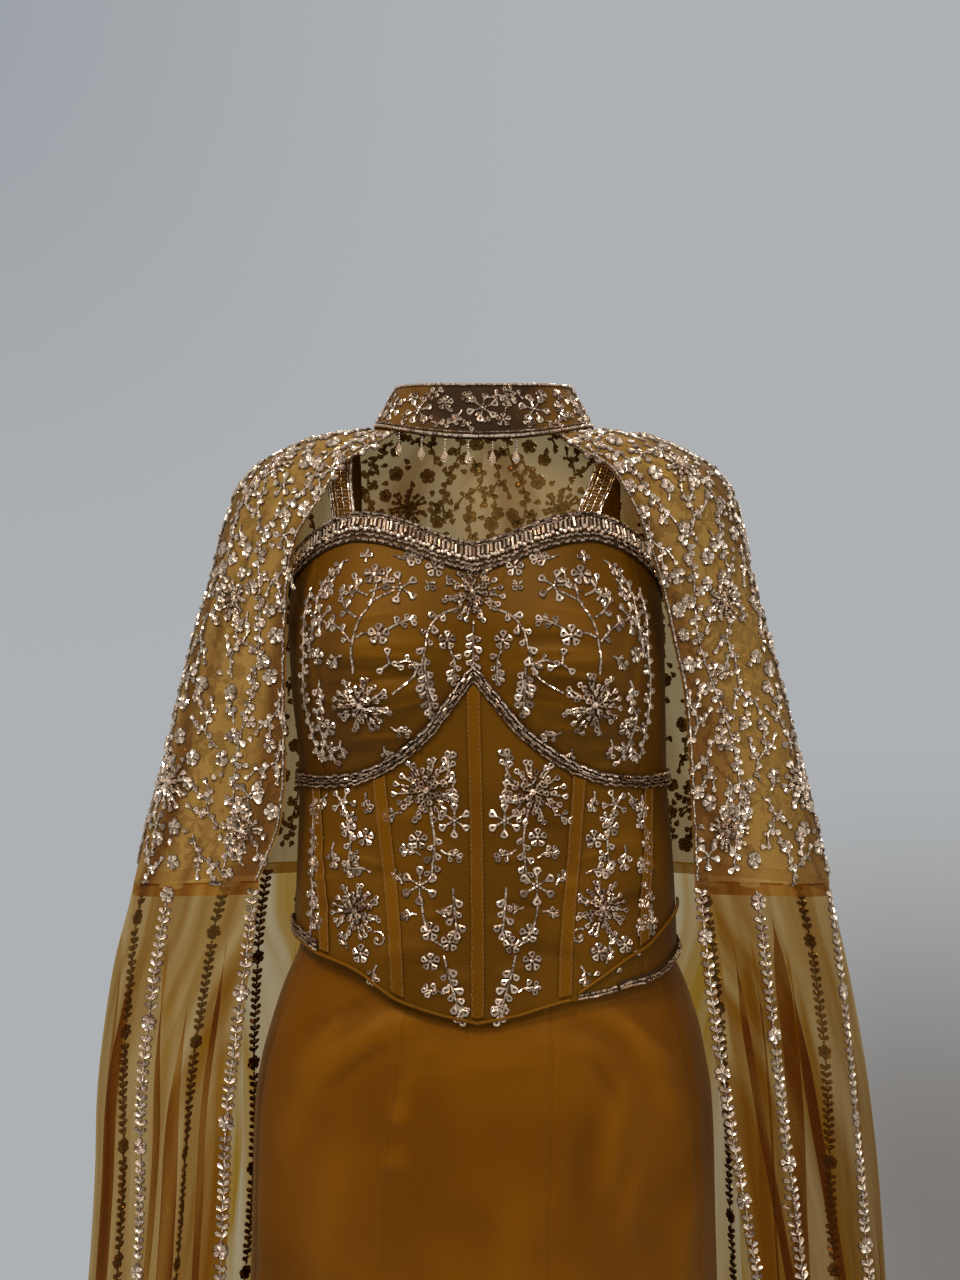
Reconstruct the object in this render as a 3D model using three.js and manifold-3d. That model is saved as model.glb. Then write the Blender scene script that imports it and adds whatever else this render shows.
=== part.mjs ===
// Cape gown: a boned corset bodice with a sweetheart neckline over a panelled satin skirt, and a sheer cape
// that hangs from a stand collar, over the shoulders and round the back. It keeps its worn, hollow form.
// Millimetres, +Z up, the front faces -Y. The origin is at the base of the neck, midway between the shoulders.
// Left and right are the wearer's: left is +X. Azimuth 0 is the front, 90 the left side, 180 the back.
import * as THREE from "three";
import Module from "manifold-3d";

const wasm = await Module();
wasm.setup();

const DEGREE = Math.PI / 180;

// Cloth and sewing
const CORSET_WALL = 2.4;
const SKIRT_WALL = 1.4;
const TULLE_WALL = 1.0;
const COLLAR_WALL = 2.4;
const TRIM_WALL = 1.2;
const STRAP_WALL = 2.0;
const SEAM_GAP = 0.4;
const SEAM_HALF_GAP_DEG = 0.12;
const ON_TOP_GAP = 0.45;
const BAND_GAP = 0.75;
const SKIRT_TUCK_GAP = 0.8;

// Colours
const SATIN = { color: 0x9c5c10, roughness: 0.38, metalness: 0 };
const CORSET_CLOTH = { color: 0x84480e, roughness: 0.6, metalness: 0 };
const RIBBON = { color: 0x94560f, roughness: 0.5, metalness: 0 };
const TULLE = { color: 0xa8762a, roughness: 0.8, metalness: 0 };
const COLLAR_CLOTH = { color: 0x4f2c12, roughness: 0.7, metalness: 0 };
const BEADWORK = { color: 0xb79a86, roughness: 0.35, metalness: 0.6 };
const GLASS_DROP = { color: 0xc79a63, roughness: 0.15, metalness: 0.1 };

// Rings of the bodice, without its cups: half width, front and back depth, where its centre front lies, and how
// much further it reaches to the left than to the right.
const BODICE_RINGS = [
  { z: -470, half: 154, front: 100.5, back: 110, middle: -2, lean: 7 },
  { z: -430, half: 152.5, front: 97.5, back: 103, middle: -2, lean: 7 },
  { z: -390, half: 151.5, front: 93.5, back: 95, middle: -2, lean: 6.5 },
  { z: -340, half: 149.5, front: 89.5, back: 88, middle: -2.5, lean: 6.5 },
  { z: -300, half: 147, front: 88, back: 87, middle: -3, lean: 6 },
  { z: -260, half: 146, front: 89, back: 90, middle: -4, lean: 6 },
  { z: -210, half: 148, front: 91, back: 94, middle: -5, lean: 4 },
  { z: -160, half: 149, front: 91, back: 96, middle: -5, lean: 2 },
  { z: -110, half: 145, front: 88, back: 96, middle: -5, lean: 1 },
  { z: -60, half: 138, front: 82, back: 92, middle: -5, lean: 0 },
];
const BODICE_POWER = 2.3;

// Cups: the corset front swells over them and creases in at the underbust seam.
const CUP_SWELL = 30;
const CUP_CENTRE = 72;
const CUP_SPREAD = 52;
const CUP_FULLEST = 0.45;
const CUP_LEFT_AT_TOP = 0.12;
const CUP_SIDE_FADE = { from: 66, to: 90 };

// Edges and seams of the bodice, by azimuth from the centre front.
const NECKLINE = [
  { azimuth: 0, z: -95 },
  { azimuth: 15, z: -89 },
  { azimuth: 24, z: -83 },
  { azimuth: 35, z: -76 },
  { azimuth: 44, z: -72 },
  { azimuth: 50, z: -71 },
  { azimuth: 56, z: -73.5 },
  { azimuth: 63, z: -79.5 },
  { azimuth: 71, z: -90 },
  { azimuth: 90, z: -111 },
  { azimuth: 115, z: -119 },
  { azimuth: 145, z: -122 },
  { azimuth: 180, z: -124 },
];
const UNDERBUST = [
  { azimuth: 0, z: -192 },
  { azimuth: 10, z: -212 },
  { azimuth: 21, z: -235 },
  { azimuth: 33, z: -253 },
  { azimuth: 43.5, z: -265.5 },
  { azimuth: 54, z: -273 },
  { azimuth: 66, z: -276 },
  { azimuth: 90, z: -277 },
];
const CORSET_HEM = [
  { azimuth: 0, right: -453, left: -453 },
  { azimuth: 16, right: -447, left: -447.5 },
  { azimuth: 26, right: -442, left: -442 },
  { azimuth: 34, right: -437, left: -438 },
  { azimuth: 40, right: -430, left: -436.5 },
  { azimuth: 48, right: -419, left: -434 },
  { azimuth: 55, right: -413, left: -430.5 },
  { azimuth: 65, right: -408, left: -427 },
  { azimuth: 75, right: -401, left: -419 },
  { azimuth: 90, right: -397, left: -410 },
  { azimuth: 120, right: -394, left: -399 },
  { azimuth: 180, right: -392, left: -392 },
];
// The piped edge that crosses the wearer's left side, above the hem.
const LEFT_PIPING = [
  { azimuth: 37, z: -433 },
  { azimuth: 47, z: -420 },
  { azimuth: 56, z: -408 },
  { azimuth: 63, z: -401 },
  { azimuth: 71, z: -389 },
  { azimuth: 86, z: -374 },
];
// Slanted seams of the corset, each under its bone.
const CORSET_SEAMS = [
  { z: -440, middle: 33.5, outer: 60.5, back: 142 },
  { z: -400, middle: 35.5, outer: 62.2, back: 141 },
  { z: -280, middle: 42.9, outer: 68.2, back: 140 },
  { z: -120, middle: 46, outer: 70, back: 140 },
];
const CUP_SEAM = 64;
const SIDE_SEAM = 90;
const BACK_SEAM = 180;
const CUP_STEPS = 11;
const CUP_SIDE_STEPS = 4;
const SIDE_BACK_STEPS = 7;
const BACK_STEPS = 5;

const BONE = { width: 9.5, wall: 1.3 };
const NECK_BAND_HEIGHT = 23.5;
const UNDERBUST_BAND_HEIGHT = 9.5;
const HEM_BAND_HEIGHT = 7;
const PIPING_RADIUS = 1.3;

// Straps. Each is tucked inside the front edge where that lies at low, and comes to high at the shoulder.
const STRAPS = [
  { name: "strap_left", side: 1, low: 83, high: 107 },
  { name: "strap_right", side: -1, low: 105, high: 109 },
];
const STRAP_INSET = 1.5;
const STRAP = { width: 20, tuck: 12, backTurn: 128 };
// Side view of their path, between the two edges.
const STRAP_PATH = [
  { y: -62, z: -50 },
  { y: -53, z: -32 },
  { y: -38, z: -16.5 },
  { y: -14, z: -8.1 },
  { y: 8, z: -7.1 },
  { y: 30, z: -12.5 },
  { y: 48, z: -26 },
  { y: 60, z: -53 },
  { y: 67, z: -86 },
];

// Skirt rings from the waist, inside the corset, to the hem.
const SKIRT_RINGS = [
  { z: -1440, half: 306, front: 250, back: 276, power: 2.2, centre: 3 },
  { z: -1320, half: 284, front: 222, back: 246, power: 2.2, centre: 3 },
  { z: -1200, half: 260, front: 192, back: 212, power: 2.2, centre: 3 },
  { z: -1080, half: 234, front: 160, back: 178, power: 2.2, centre: 3 },
  { z: -960, half: 210, front: 132, back: 150, power: 2.2, centre: 3 },
  { z: -860, half: 196, front: 116, back: 134, power: 2.2, centre: 3 },
  { z: -760, half: 188, front: 108, back: 126, power: 2.2, centre: 3 },
  { z: -670, half: 185.5, front: 105, back: 126, power: 2.2, centre: 3 },
  { z: -610, half: 184, front: 105, back: 128, power: 2.2, centre: 3 },
  { z: -560, half: 183, front: 104, back: 129, power: 2.2, centre: 3 },
  { z: -525, half: 181, front: 102, back: 127, power: 2.2, centre: 3 },
  { z: -500, half: 177, front: 100, back: 122, power: 2.2, centre: 3 },
  { z: -470, half: 170, front: 97, back: 114, power: 2.1, centre: 4 },
  { z: -440, half: 160, front: 92, back: 104, power: 2, centre: 4 },
  { z: -415, half: 149, front: 88.5, back: 92, power: 2.05, centre: 4 },
  { z: -400, half: 145, front: 87, back: 88, power: 2.1, centre: 3.5 },
  { z: -366, half: 142, front: 84.5, back: 83.5, power: 2.15, centre: 3 },
];
const SKIRT_TOP = -368;
const SKIRT_HEM = -1440;
const SKIRT_ROW_PACE = 1.6;
const SKIRT_TUCK = { from: -395, to: -375 };
const SKIRT_SEAMS = [
  { z: -1440, right: -41, left: 30, sideRight: -86, sideLeft: 84 },
  { z: -900, right: -40, left: 27, sideRight: -82, sideLeft: 78 },
  { z: -632, right: -38, left: 25, sideRight: -79, sideLeft: 72 },
  { z: -448, right: -34, left: 28.5, sideRight: -79, sideLeft: 72 },
  { z: -366, right: -32, left: 29, sideRight: -80, sideLeft: 74 },
];
const SKIRT_FLUTES = { count: 11, depth: 13, top: -800, sway: 0.35 };

// Rings of the cape yoke, from the collar to the elbow seam. A ring is lower in front than at the sides near
// the neck. Right and left are how far each front edge lies from the middle.
const YOKE_RINGS = [
  { at: 0, half: 87.3, front: 78.8, back: 78.8, side: -1, fore: -18.5, aft: 19, right: 66, left: 55, centre: 3 },
  { at: 1, half: 128, front: 98, back: 95, side: -6, fore: -34, aft: 8, right: 81, left: 69, centre: 3 },
  { at: 2, half: 160, front: 104, back: 108, side: -18, fore: -49.5, aft: -10, right: 104, left: 91, centre: 3 },
  { at: 3, half: 183, front: 107, back: 115, side: -32, fore: -68, aft: -32, right: 114, left: 101.5, centre: 3 },
  { at: 4, half: 198, front: 106, back: 119, side: -52, fore: -89, aft: -58, right: 127, left: 112, centre: 3 },
  { at: 5, half: 206, front: 103, back: 121, side: -80, fore: -108, aft: -86, right: 138, left: 121, centre: 2 },
  { at: 6, half: 215, front: 97, back: 122, side: -115, fore: -140, aft: -120, right: 144, left: 131.5, centre: 2 },
  { at: 7, half: 229, front: 90, back: 124, side: -165, fore: -170, aft: -168, right: 145, left: 141, centre: 1 },
  { at: 8, half: 241.5, front: 86, back: 126, side: -215, fore: -213, aft: -216, right: 145, left: 150.5, centre: 1 },
  { at: 9, half: 254, front: 82, back: 129, side: -265, fore: -257, aft: -264, right: 144.5, left: 154, centre: 1 },
  { at: 10, half: 266, front: 79, back: 132, side: -312, fore: -300, aft: -312, right: 148, left: 156.5, centre: 1 },
  { at: 11, half: 277, front: 77, back: 136, side: -360, fore: -346, aft: -360, right: 166, left: 159, centre: 1 },
];
// Rings of the long lower cape, from the elbow seam to the hem.
const DRAPE_RINGS = [
  { z: -1400, half: 392, front: 252, back: 316, right: 272, left: 272, centre: 1 },
  { z: -1250, half: 374, front: 220, back: 286, right: 255, left: 256, centre: 2 },
  { z: -1100, half: 356, front: 186, back: 254, right: 236, left: 238, centre: 3 },
  { z: -950, half: 338, front: 152, back: 224, right: 216, left: 221, centre: 5 },
  { z: -800, half: 322, front: 122, back: 200, right: 203, left: 208, centre: 7 },
  { z: -680, half: 312, front: 104, back: 185, right: 197, left: 197, centre: 8 },
  { z: -600, half: 307, front: 96, back: 176, right: 193, left: 185, centre: 7 },
  { z: -530, half: 303, front: 90, back: 168, right: 188, left: 176, centre: 4 },
  { z: -450, half: 293, front: 84, back: 156, right: 177, left: 167, centre: 2 },
  { z: -400, half: 285, front: 80, back: 146, right: 169, left: 162, centre: 1 },
  { z: -360.3, half: 277, front: 77, back: 136, right: 166, left: 159, centre: 1 },
];
const CAPE_POWER = 2;
const DRAPE_TOP_LIFT = 14;
const DRAPE_HEM = -1400;
// Folds of the lower cape, from the left front edge (0) round the back to the right front edge (1). A fold
// stands out by its depth at the hem, and has shown share of it where it starts at the seam.
const DRAPE_FOLDS = [
  { at: 0.035, width: 0.032, depth: 16, start: 0.14 },
  { at: 0.098, width: 0.028, depth: 20, start: 0.2 },
  { at: 0.152, width: 0.025, depth: 15, start: 0.1 },
  { at: 0.205, width: 0.027, depth: 26, start: 0.16 },
  { at: 0.262, width: 0.026, depth: 18, start: 0.12 },
  { at: 0.312, width: 0.024, depth: 24, start: 0.2 },
  { at: 0.366, width: 0.027, depth: 21, start: 0.12 },
  { at: 0.422, width: 0.026, depth: 27, start: 0.18 },
  { at: 0.474, width: 0.024, depth: 19, start: 0.14 },
  { at: 0.528, width: 0.027, depth: 25, start: 0.16 },
  { at: 0.582, width: 0.025, depth: 20, start: 0.12 },
  { at: 0.636, width: 0.027, depth: 26, start: 0.18 },
  { at: 0.688, width: 0.024, depth: 18, start: 0.12 },
  { at: 0.741, width: 0.026, depth: 23, start: 0.2 },
  { at: 0.795, width: 0.028, depth: 27, start: 0.16 },
  { at: 0.85, width: 0.025, depth: 15, start: 0.1 },
  { at: 0.904, width: 0.028, depth: 21, start: 0.2 },
  { at: 0.965, width: 0.032, depth: 15, start: 0.14 },
];
const DRAPE_SEAMS = { left: 0.29, back: 0.5, right: 0.71 };
// Soft creases of the yoke, which run down from the shoulder.
const YOKE_CREASES = [
  { at: 0.1, width: 0.05, depth: 2.5 },
  { at: 0.21, width: 0.045, depth: 3.5 },
  { at: 0.34, width: 0.05, depth: 3 },
  { at: 0.45, width: 0.045, depth: 2.5 },
  { at: 0.56, width: 0.05, depth: 3 },
  { at: 0.68, width: 0.045, depth: 2.5 },
  { at: 0.79, width: 0.05, depth: 3.5 },
  { at: 0.9, width: 0.045, depth: 2.5 },
];

// Stand collar: rings at its lower and upper edge, and a fastening gap at the centre back.
const COLLAR_RINGS = [
  { at: 0, half: 87, front: 78.5, back: 78.5, side: 0.5, fore: -16.5, aft: 21 },
  { at: 1, half: 70, front: 62.5, back: 65, side: 32, fore: 27.5, aft: 44 },
];
const COLLAR_CENTRE = 3;
const COLLAR_POWER = 2.1;
const COLLAR_BACK_GAP_DEG = 0.45;

// Glass drops that hang below the front of the collar.
const DROPS = { first: -65.5, spacing: 18.8, count: 6, thread: 6, length: 10.5, radius: 3 };
const DROP_STRIP = { height: 3, wall: 1.2, inset: 3.1, below: 1 };

// Value of one column at x, on a smooth curve through the rows, which rise or fall by their key.
function reading(table, key, column, x) {
  const rows = table[0][key] < table[table.length - 1][key] ? table : [...table].reverse();
  const last = rows.length - 1;
  const place = Math.min(Math.max(x, rows[0][key]), rows[last][key]);
  let i = 0;
  while (i < last - 1 && place > rows[i + 1][key]) i += 1;
  const slopeOf = (k) => (rows[k + 1][column] - rows[k][column]) / (rows[k + 1][key] - rows[k][key]);
  const tangentAt = (k) => {
    if (k === 0) return slopeOf(0);
    if (k === last) return slopeOf(last - 1);
    const before = slopeOf(k - 1);
    const after = slopeOf(k);
    return before * after <= 0 ? 0 : (2 * before * after) / (before + after);
  };
  const width = rows[i + 1][key] - rows[i][key];
  const t = (place - rows[i][key]) / width;
  const rise = t * t * (3 - 2 * t);
  return (
    rows[i][column] * (1 - rise) +
    rows[i + 1][column] * rise +
    width * (tangentAt(i) * t * (1 - t) * (1 - t) - tangentAt(i + 1) * t * t * (1 - t))
  );
}

function readRow(table, key, x) {
  const row = {};
  for (const column of Object.keys(table[0])) row[column] = column === key ? x : reading(table, key, column, x);
  return row;
}

const mix = (a, b, t) => a + (b - a) * t;

function smooth(from, to, x) {
  const t = Math.min(Math.max((x - from) / (to - from), 0), 1);
  return t * t * (3 - 2 * t);
}

// Point on a rounded oval ring at an azimuth in degrees, as x and y.
function ringPoint(ring, power, azimuth) {
  const sine = Math.sin(azimuth * DEGREE);
  const cosine = Math.cos(azimuth * DEGREE);
  const depth = cosine > 0 ? ring.front : ring.back;
  const reach = (Math.abs(sine / ring.half) ** power + Math.abs(cosine / depth) ** power) ** (-1 / power);
  return [reach * sine, -reach * cosine];
}

// Outward direction of a ring at a point on it.
function ringNormal(ring, power, x, y) {
  const depth = y < 0 ? ring.front : ring.back;
  const across = Math.sign(x) * Math.abs(x / ring.half) ** (power - 1) / ring.half;
  const along = Math.sign(y) * Math.abs(y / depth) ** (power - 1) / depth;
  const long = Math.hypot(across, along);
  return [across / long, along / long];
}

// Height of a ring that isn't level: side, fore and aft heights blend round it.
function ringHeight(ring, y) {
  const share = y < 0 ? (y / ring.front) ** 2 : (y / ring.back) ** 2;
  return mix(ring.side, y < 0 ? ring.fore : ring.aft, share);
}

// An azimuth from -180 to 180, below 0 on the right.
const wrapped = (azimuth) => ((((azimuth + 180) % 360) + 360) % 360) - 180;
const necklineAt = (azimuth) => reading(NECKLINE, "azimuth", "z", Math.abs(wrapped(azimuth)));
const underbustAt = (azimuth) => reading(UNDERBUST, "azimuth", "z", Math.abs(wrapped(azimuth)));

function hemAt(azimuth) {
  const turn = wrapped(azimuth);
  return reading(CORSET_HEM, "azimuth", turn < 0 ? "right" : "left", Math.abs(turn));
}

const seamAt = (column) => (z) => reading(CORSET_SEAMS, "z", column, z);

// How far a cup stands out, from 0 at the underbust seam through its fullest height to the neckline.
function cupSwell(azimuth, x, z) {
  const turn = Math.abs(wrapped(azimuth));
  const fade = 1 - smooth(CUP_SIDE_FADE.from, CUP_SIDE_FADE.to, turn);
  const low = underbustAt(turn);
  const height = (z - low) / (necklineAt(turn) - low);
  if (fade === 0 || height <= 0) return 0;
  const rise = height < CUP_FULLEST
    ? 1 - (1 - height / CUP_FULLEST) ** 2
    : mix(CUP_LEFT_AT_TOP, 1, Math.cos((Math.min(height, 1.1) - CUP_FULLEST) / (1 - CUP_FULLEST) * Math.PI / 2) ** 2);
  return CUP_SWELL * fade * rise * Math.exp(-(((Math.abs(x) - CUP_CENTRE) / CUP_SPREAD) ** 2));
}

function bodiceAt(azimuth, z) {
  const ring = readRow(BODICE_RINGS, "z", z);
  const [x, y] = ringPoint(ring, BODICE_POWER, azimuth);
  const [outX, outY] = ringNormal(ring, BODICE_POWER, x, y);
  const swell = cupSwell(azimuth, x, z);
  const shift = ring.middle + ring.lean * Math.abs(x) / ring.half;
  return new THREE.Vector3(x + outX * swell + shift, y + outY * swell, z);
}

// Where the skirt is sewn in: it lies just inside the corset wall.
function tuckedAt(azimuth, z) {
  const normal = normalOf(bodiceAt, azimuth, z, 0.4, -0.4);
  return bodiceAt(azimuth, z).addScaledVector(normal, -CORSET_WALL - SKIRT_TUCK_GAP);
}

function skirtAt(azimuth, z) {
  const ring = readRow(SKIRT_RINGS, "z", z);
  const [x, y] = ringPoint(ring, ring.power, azimuth);
  const [outX, outY] = ringNormal(ring, ring.power, x, y);
  const { count, depth, top, sway } = SKIRT_FLUTES;
  const grow = smooth(top, SKIRT_HEM, z);
  const turn = azimuth * DEGREE;
  const wave = Math.cos(count * turn + sway * Math.sin(3 * turn));
  const flute = depth * grow * wave;
  const free = new THREE.Vector3(x + outX * flute + ring.centre, y + outY * flute, z);
  const tucked = smooth(SKIRT_TUCK.from, SKIRT_TUCK.to, z);
  return tucked > 0 ? free.lerp(tuckedAt(azimuth, z), tucked).setZ(z) : free;
}

// Azimuth at a share of the way round a cape ring, by length of cloth, from the left front edge.
function capeAzimuth(ring, share) {
  const edge = share <= 0.5 ? ring.left : ring.right;
  const edgeDepth = ring.front * (1 - (edge / ring.half) ** CAPE_POWER) ** (1 / CAPE_POWER);
  const first = Math.atan2(edge, edgeDepth) / DEGREE;
  const steps = 60;
  const lengths = [0];
  let [lastX, lastY] = ringPoint(ring, CAPE_POWER, first);
  for (let k = 1; k <= steps; k++) {
    const [x, y] = ringPoint(ring, CAPE_POWER, mix(first, 180, k / steps));
    lengths.push(lengths[k - 1] + Math.hypot(x - lastX, y - lastY));
    [lastX, lastY] = [x, y];
  }
  const half = share <= 0.5 ? share : 1 - share;
  const wanted = Math.max(half, 0) * 2 * lengths[steps];
  let k = 1;
  while (k < steps && lengths[k] < wanted) k += 1;
  const azimuth = mix(first, 180, (k - 1 + (wanted - lengths[k - 1]) / (lengths[k] - lengths[k - 1])) / steps);
  return share <= 0.5 ? azimuth : 360 - azimuth;
}

function foldSum(folds, share, sizeOf) {
  let total = 0;
  for (const fold of folds) {
    const off = Math.abs(share - fold.at) / fold.width;
    if (off < 1) total += sizeOf(fold) * Math.cos(off * Math.PI / 2) ** 2;
  }
  return total;
}

const creaseAt = (share) => foldSum(YOKE_CREASES, share, ({ depth }) => depth);

// Yoke of the cape: share goes round it, down goes from the collar (0) to the elbow seam (1).
function yokeAt(share, down) {
  const ring = readRow(YOKE_RINGS, "at", down * (YOKE_RINGS.length - 1));
  const [x, y] = ringPoint(ring, CAPE_POWER, capeAzimuth(ring, share));
  const [outX, outY] = ringNormal(ring, CAPE_POWER, x, y);
  const crease = creaseAt(share) * smooth(0.25, 0.8, down);
  return new THREE.Vector3(x + outX * crease + ring.centre, y + outY * crease, ringHeight(ring, y));
}

// Lower cape: down goes from the elbow seam (0) to the hem (1).
function drapeAt(share, down) {
  const z = mix(DRAPE_RINGS[DRAPE_RINGS.length - 1].z, DRAPE_HEM, down);
  const ring = readRow(DRAPE_RINGS, "z", z);
  const [x, y] = ringPoint(ring, CAPE_POWER, capeAzimuth(ring, share));
  const [outX, outY] = ringNormal(ring, CAPE_POWER, x, y);
  const below = Math.max(down, 0);
  const fall = foldSum(DRAPE_FOLDS, share, ({ depth, start }) => depth * mix(start, 1, below ** 0.85));
  const fold = mix(creaseAt(share), fall, smooth(0, 0.06, below));
  const front = y < 0 ? (y / ring.front) ** 2 * DRAPE_TOP_LIFT * (1 - smooth(0, 0.12, down)) : 0;
  return new THREE.Vector3(x + outX * fold + ring.centre, y + outY * fold, z + front);
}

function collarAt(azimuth, up) {
  const ring = readRow(COLLAR_RINGS, "at", up);
  const [x, y] = ringPoint(ring, COLLAR_POWER, azimuth);
  return new THREE.Vector3(x + COLLAR_CENTRE, y, ringHeight(ring, y));
}

// Outward normal of a surface that faces out when its first value grows to the left and its second falls.
function normalOf(surface, a, b, stepA, stepB) {
  const along = surface(a + stepA, b).sub(surface(a - stepA, b));
  const down = surface(a, b + stepB).sub(surface(a, b - stepB));
  return down.cross(along).normalize();
}

function solidFrom(points, triangles) {
  const geometry = new THREE.BufferGeometry();
  geometry.setAttribute("position", new THREE.Float32BufferAttribute(points.flatMap((p) => [p.x, p.y, p.z]), 3));
  geometry.setIndex(triangles);
  return geometry;
}

// Closed wall of cloth over a grid. place gives the outer point and the normal at s and t, from 0 to 1, with s to
// the left of the front and t downwards. The wall stands off its own surface by lift and is thickness deep.
function clothWall(place, { across, down, thickness, lift = 0 }) {
  const outer = [];
  const inner = [];
  for (let j = 0; j <= down; j++)
    for (let i = 0; i <= across; i++) {
      const { point, normal } = place(i / across, j / down);
      outer.push(point.clone().addScaledVector(normal, lift));
      inner.push(point.clone().addScaledVector(normal, lift - thickness));
    }
  const count = outer.length;
  const at = (i, j) => j * (across + 1) + i;
  const triangles = [];
  const quad = (a, b, c, d) => triangles.push(a, b, c, a, c, d);
  for (let j = 0; j < down; j++)
    for (let i = 0; i < across; i++) {
      quad(at(i, j), at(i, j + 1), at(i + 1, j + 1), at(i + 1, j));
      quad(count + at(i, j), count + at(i + 1, j), count + at(i + 1, j + 1), count + at(i, j + 1));
    }
  for (let i = 0; i < across; i++) {
    quad(at(i, 0), at(i + 1, 0), count + at(i + 1, 0), count + at(i, 0));
    quad(at(i + 1, down), at(i, down), count + at(i, down), count + at(i + 1, down));
  }
  for (let j = 0; j < down; j++) {
    quad(at(0, j + 1), at(0, j), count + at(0, j), count + at(0, j + 1));
    quad(at(across, j), at(across, j + 1), count + at(across, j + 1), count + at(across, j));
  }
  return solidFrom([...outer, ...inner], triangles);
}

const gown = new THREE.Group();
gown.name = "cape_gown";
const materials = new Map();

function add(name, finish, geometry) {
  if (!materials.has(finish)) materials.set(finish, new THREE.MeshStandardMaterial(finish));
  const mesh = new THREE.Mesh(geometry, materials.get(finish));
  mesh.name = name;
  gown.add(mesh);
}

// A panel of a tube between two seams and two edges, which may each slant.
function tubePanel(surface, { from, to, top, bottom, pace = (s) => s, fall = (t) => t, ...grid }) {
  const place = (s, t) => {
    let z = (top(from(-300)) + bottom(from(-300))) / 2;
    let azimuth = 0;
    for (let pass = 0; pass < 8; pass++) {
      azimuth = mix(from(z), to(z), pace(s));
      z = mix(top(azimuth), bottom(azimuth), fall(t));
    }
    return { point: surface(azimuth, z), normal: normalOf(surface, azimuth, z, 0.4, -0.4) };
  };
  return clothWall(place, grid);
}

const level = (value) => () => value;
const moved = (line, by) => (x) => line(x) + by;

// Bodice panels. Each stops half a seam gap short of its seams. mirrored turns a left side into a right one.
function addBodicePanel(name, finish, { from, to, top, bottom, across, down }) {
  const grid = { across, down, thickness: CORSET_WALL };
  const right = (line) => (z) => -line(z);
  const topEdge = moved(top, -SEAM_GAP / 2);
  const bottomEdge = moved(bottom, SEAM_GAP / 2);
  add(`${name}_left`, finish, tubePanel(bodiceAt, {
    from: moved(from, SEAM_HALF_GAP_DEG), to: moved(to, -SEAM_HALF_GAP_DEG), top: topEdge, bottom: bottomEdge, ...grid,
  }));
  add(`${name}_right`, finish, tubePanel(bodiceAt, {
    from: moved(right(to), SEAM_HALF_GAP_DEG), to: moved(right(from), -SEAM_HALF_GAP_DEG),
    top: topEdge, bottom: bottomEdge, ...grid,
  }));
}

function addBodice() {
  const corset = { top: underbustAt, bottom: hemAt };
  addBodicePanel("cup", CORSET_CLOTH, {
    from: level(0), to: level(CUP_SEAM), top: necklineAt, bottom: underbustAt,
    across: CUP_STEPS, down: 9,
  });
  addBodicePanel("cup_side", CORSET_CLOTH, {
    from: level(CUP_SEAM), to: level(SIDE_SEAM), top: necklineAt, bottom: underbustAt,
    across: CUP_SIDE_STEPS, down: 9,
  });
  addBodicePanel("corset_front", CORSET_CLOTH, {
    from: level(0), to: seamAt("middle"), ...corset, across: 7, down: 9,
  });
  addBodicePanel("corset_side_front", CORSET_CLOTH, {
    from: seamAt("middle"), to: seamAt("outer"), ...corset, across: 5, down: 7,
  });
  addBodicePanel("corset_side", CORSET_CLOTH, {
    from: seamAt("outer"), to: level(SIDE_SEAM), ...corset, across: 5, down: 6,
  });
  addBodicePanel("bodice_side_back", CORSET_CLOTH, {
    from: level(SIDE_SEAM), to: seamAt("back"), top: necklineAt, bottom: hemAt, across: SIDE_BACK_STEPS, down: 10,
  });
  addBodicePanel("bodice_back", CORSET_CLOTH, {
    from: seamAt("back"), to: level(BACK_SEAM), top: necklineAt, bottom: hemAt, across: BACK_STEPS, down: 10,
  });
}

// Half the upright height of a band that follows the underbust seam and keeps its width where the seam slants.
function underbustBandHalf(azimuth) {
  const step = 1;
  const here = Math.abs(azimuth);
  const a = bodiceAt(here + step, underbustAt(here + step));
  const b = bodiceAt(Math.max(here - step, 0), underbustAt(Math.max(here - step, 0)));
  const slope = (a.z - b.z) / Math.hypot(a.x - b.x, a.y - b.y);
  return (UNDERBUST_BAND_HEIGHT / 2) * Math.sqrt(1 + slope * slope);
}

// A satin ribbon over a bone, down a seam from under the bust to just above the piped edge.
function boneWall(seam, top, bottom) {
  const turnFor = (z) => {
    const step = 0.5;
    const here = bodiceAt(seam(z), z);
    return (BONE.width / 2) * step / here.distanceTo(bodiceAt(seam(z) + step, z));
  };
  return tubePanel(bodiceAt, {
    from: (z) => seam(z) - turnFor(z), to: (z) => seam(z) + turnFor(z), top, bottom,
    across: 2, down: 10, thickness: BONE.wall, lift: ON_TOP_GAP + BONE.wall,
  });
}

const leftPipingAt = (azimuth) => reading(LEFT_PIPING, "azimuth", "z", azimuth);

// Height of the piped edge at an azimuth. On the left front it climbs away from the hem.
function pipingAt(azimuth) {
  const onHem = hemAt(azimuth) + PIPING_RADIUS + 0.4;
  return azimuth > LEFT_PIPING[0].azimuth && azimuth < SIDE_SEAM ? leftPipingAt(azimuth) : onHem;
}

function addBones() {
  const below = (azimuth) => underbustAt(azimuth) - underbustBandHalf(azimuth) - 1;
  const above = (azimuth) => pipingAt(azimuth) + 2 * PIPING_RADIUS + 1;
  const mirrored = (line) => (z) => -line(z);
  add("bone_centre", RIBBON, boneWall(level(0), below, above));
  for (const column of ["middle", "outer"]) {
    add(`bone_${column}_left`, RIBBON, boneWall(seamAt(column), below, above));
    add(`bone_${column}_right`, RIBBON, boneWall(mirrored(seamAt(column)), below, above));
  }
  const backTop = (azimuth) => necklineAt(azimuth) - NECK_BAND_HEIGHT - 2;
  add("bone_back_left", RIBBON, boneWall(seamAt("back"), backTop, above));
  add("bone_back_right", RIBBON, boneWall(mirrored(seamAt("back")), backTop, above));
}

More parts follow.
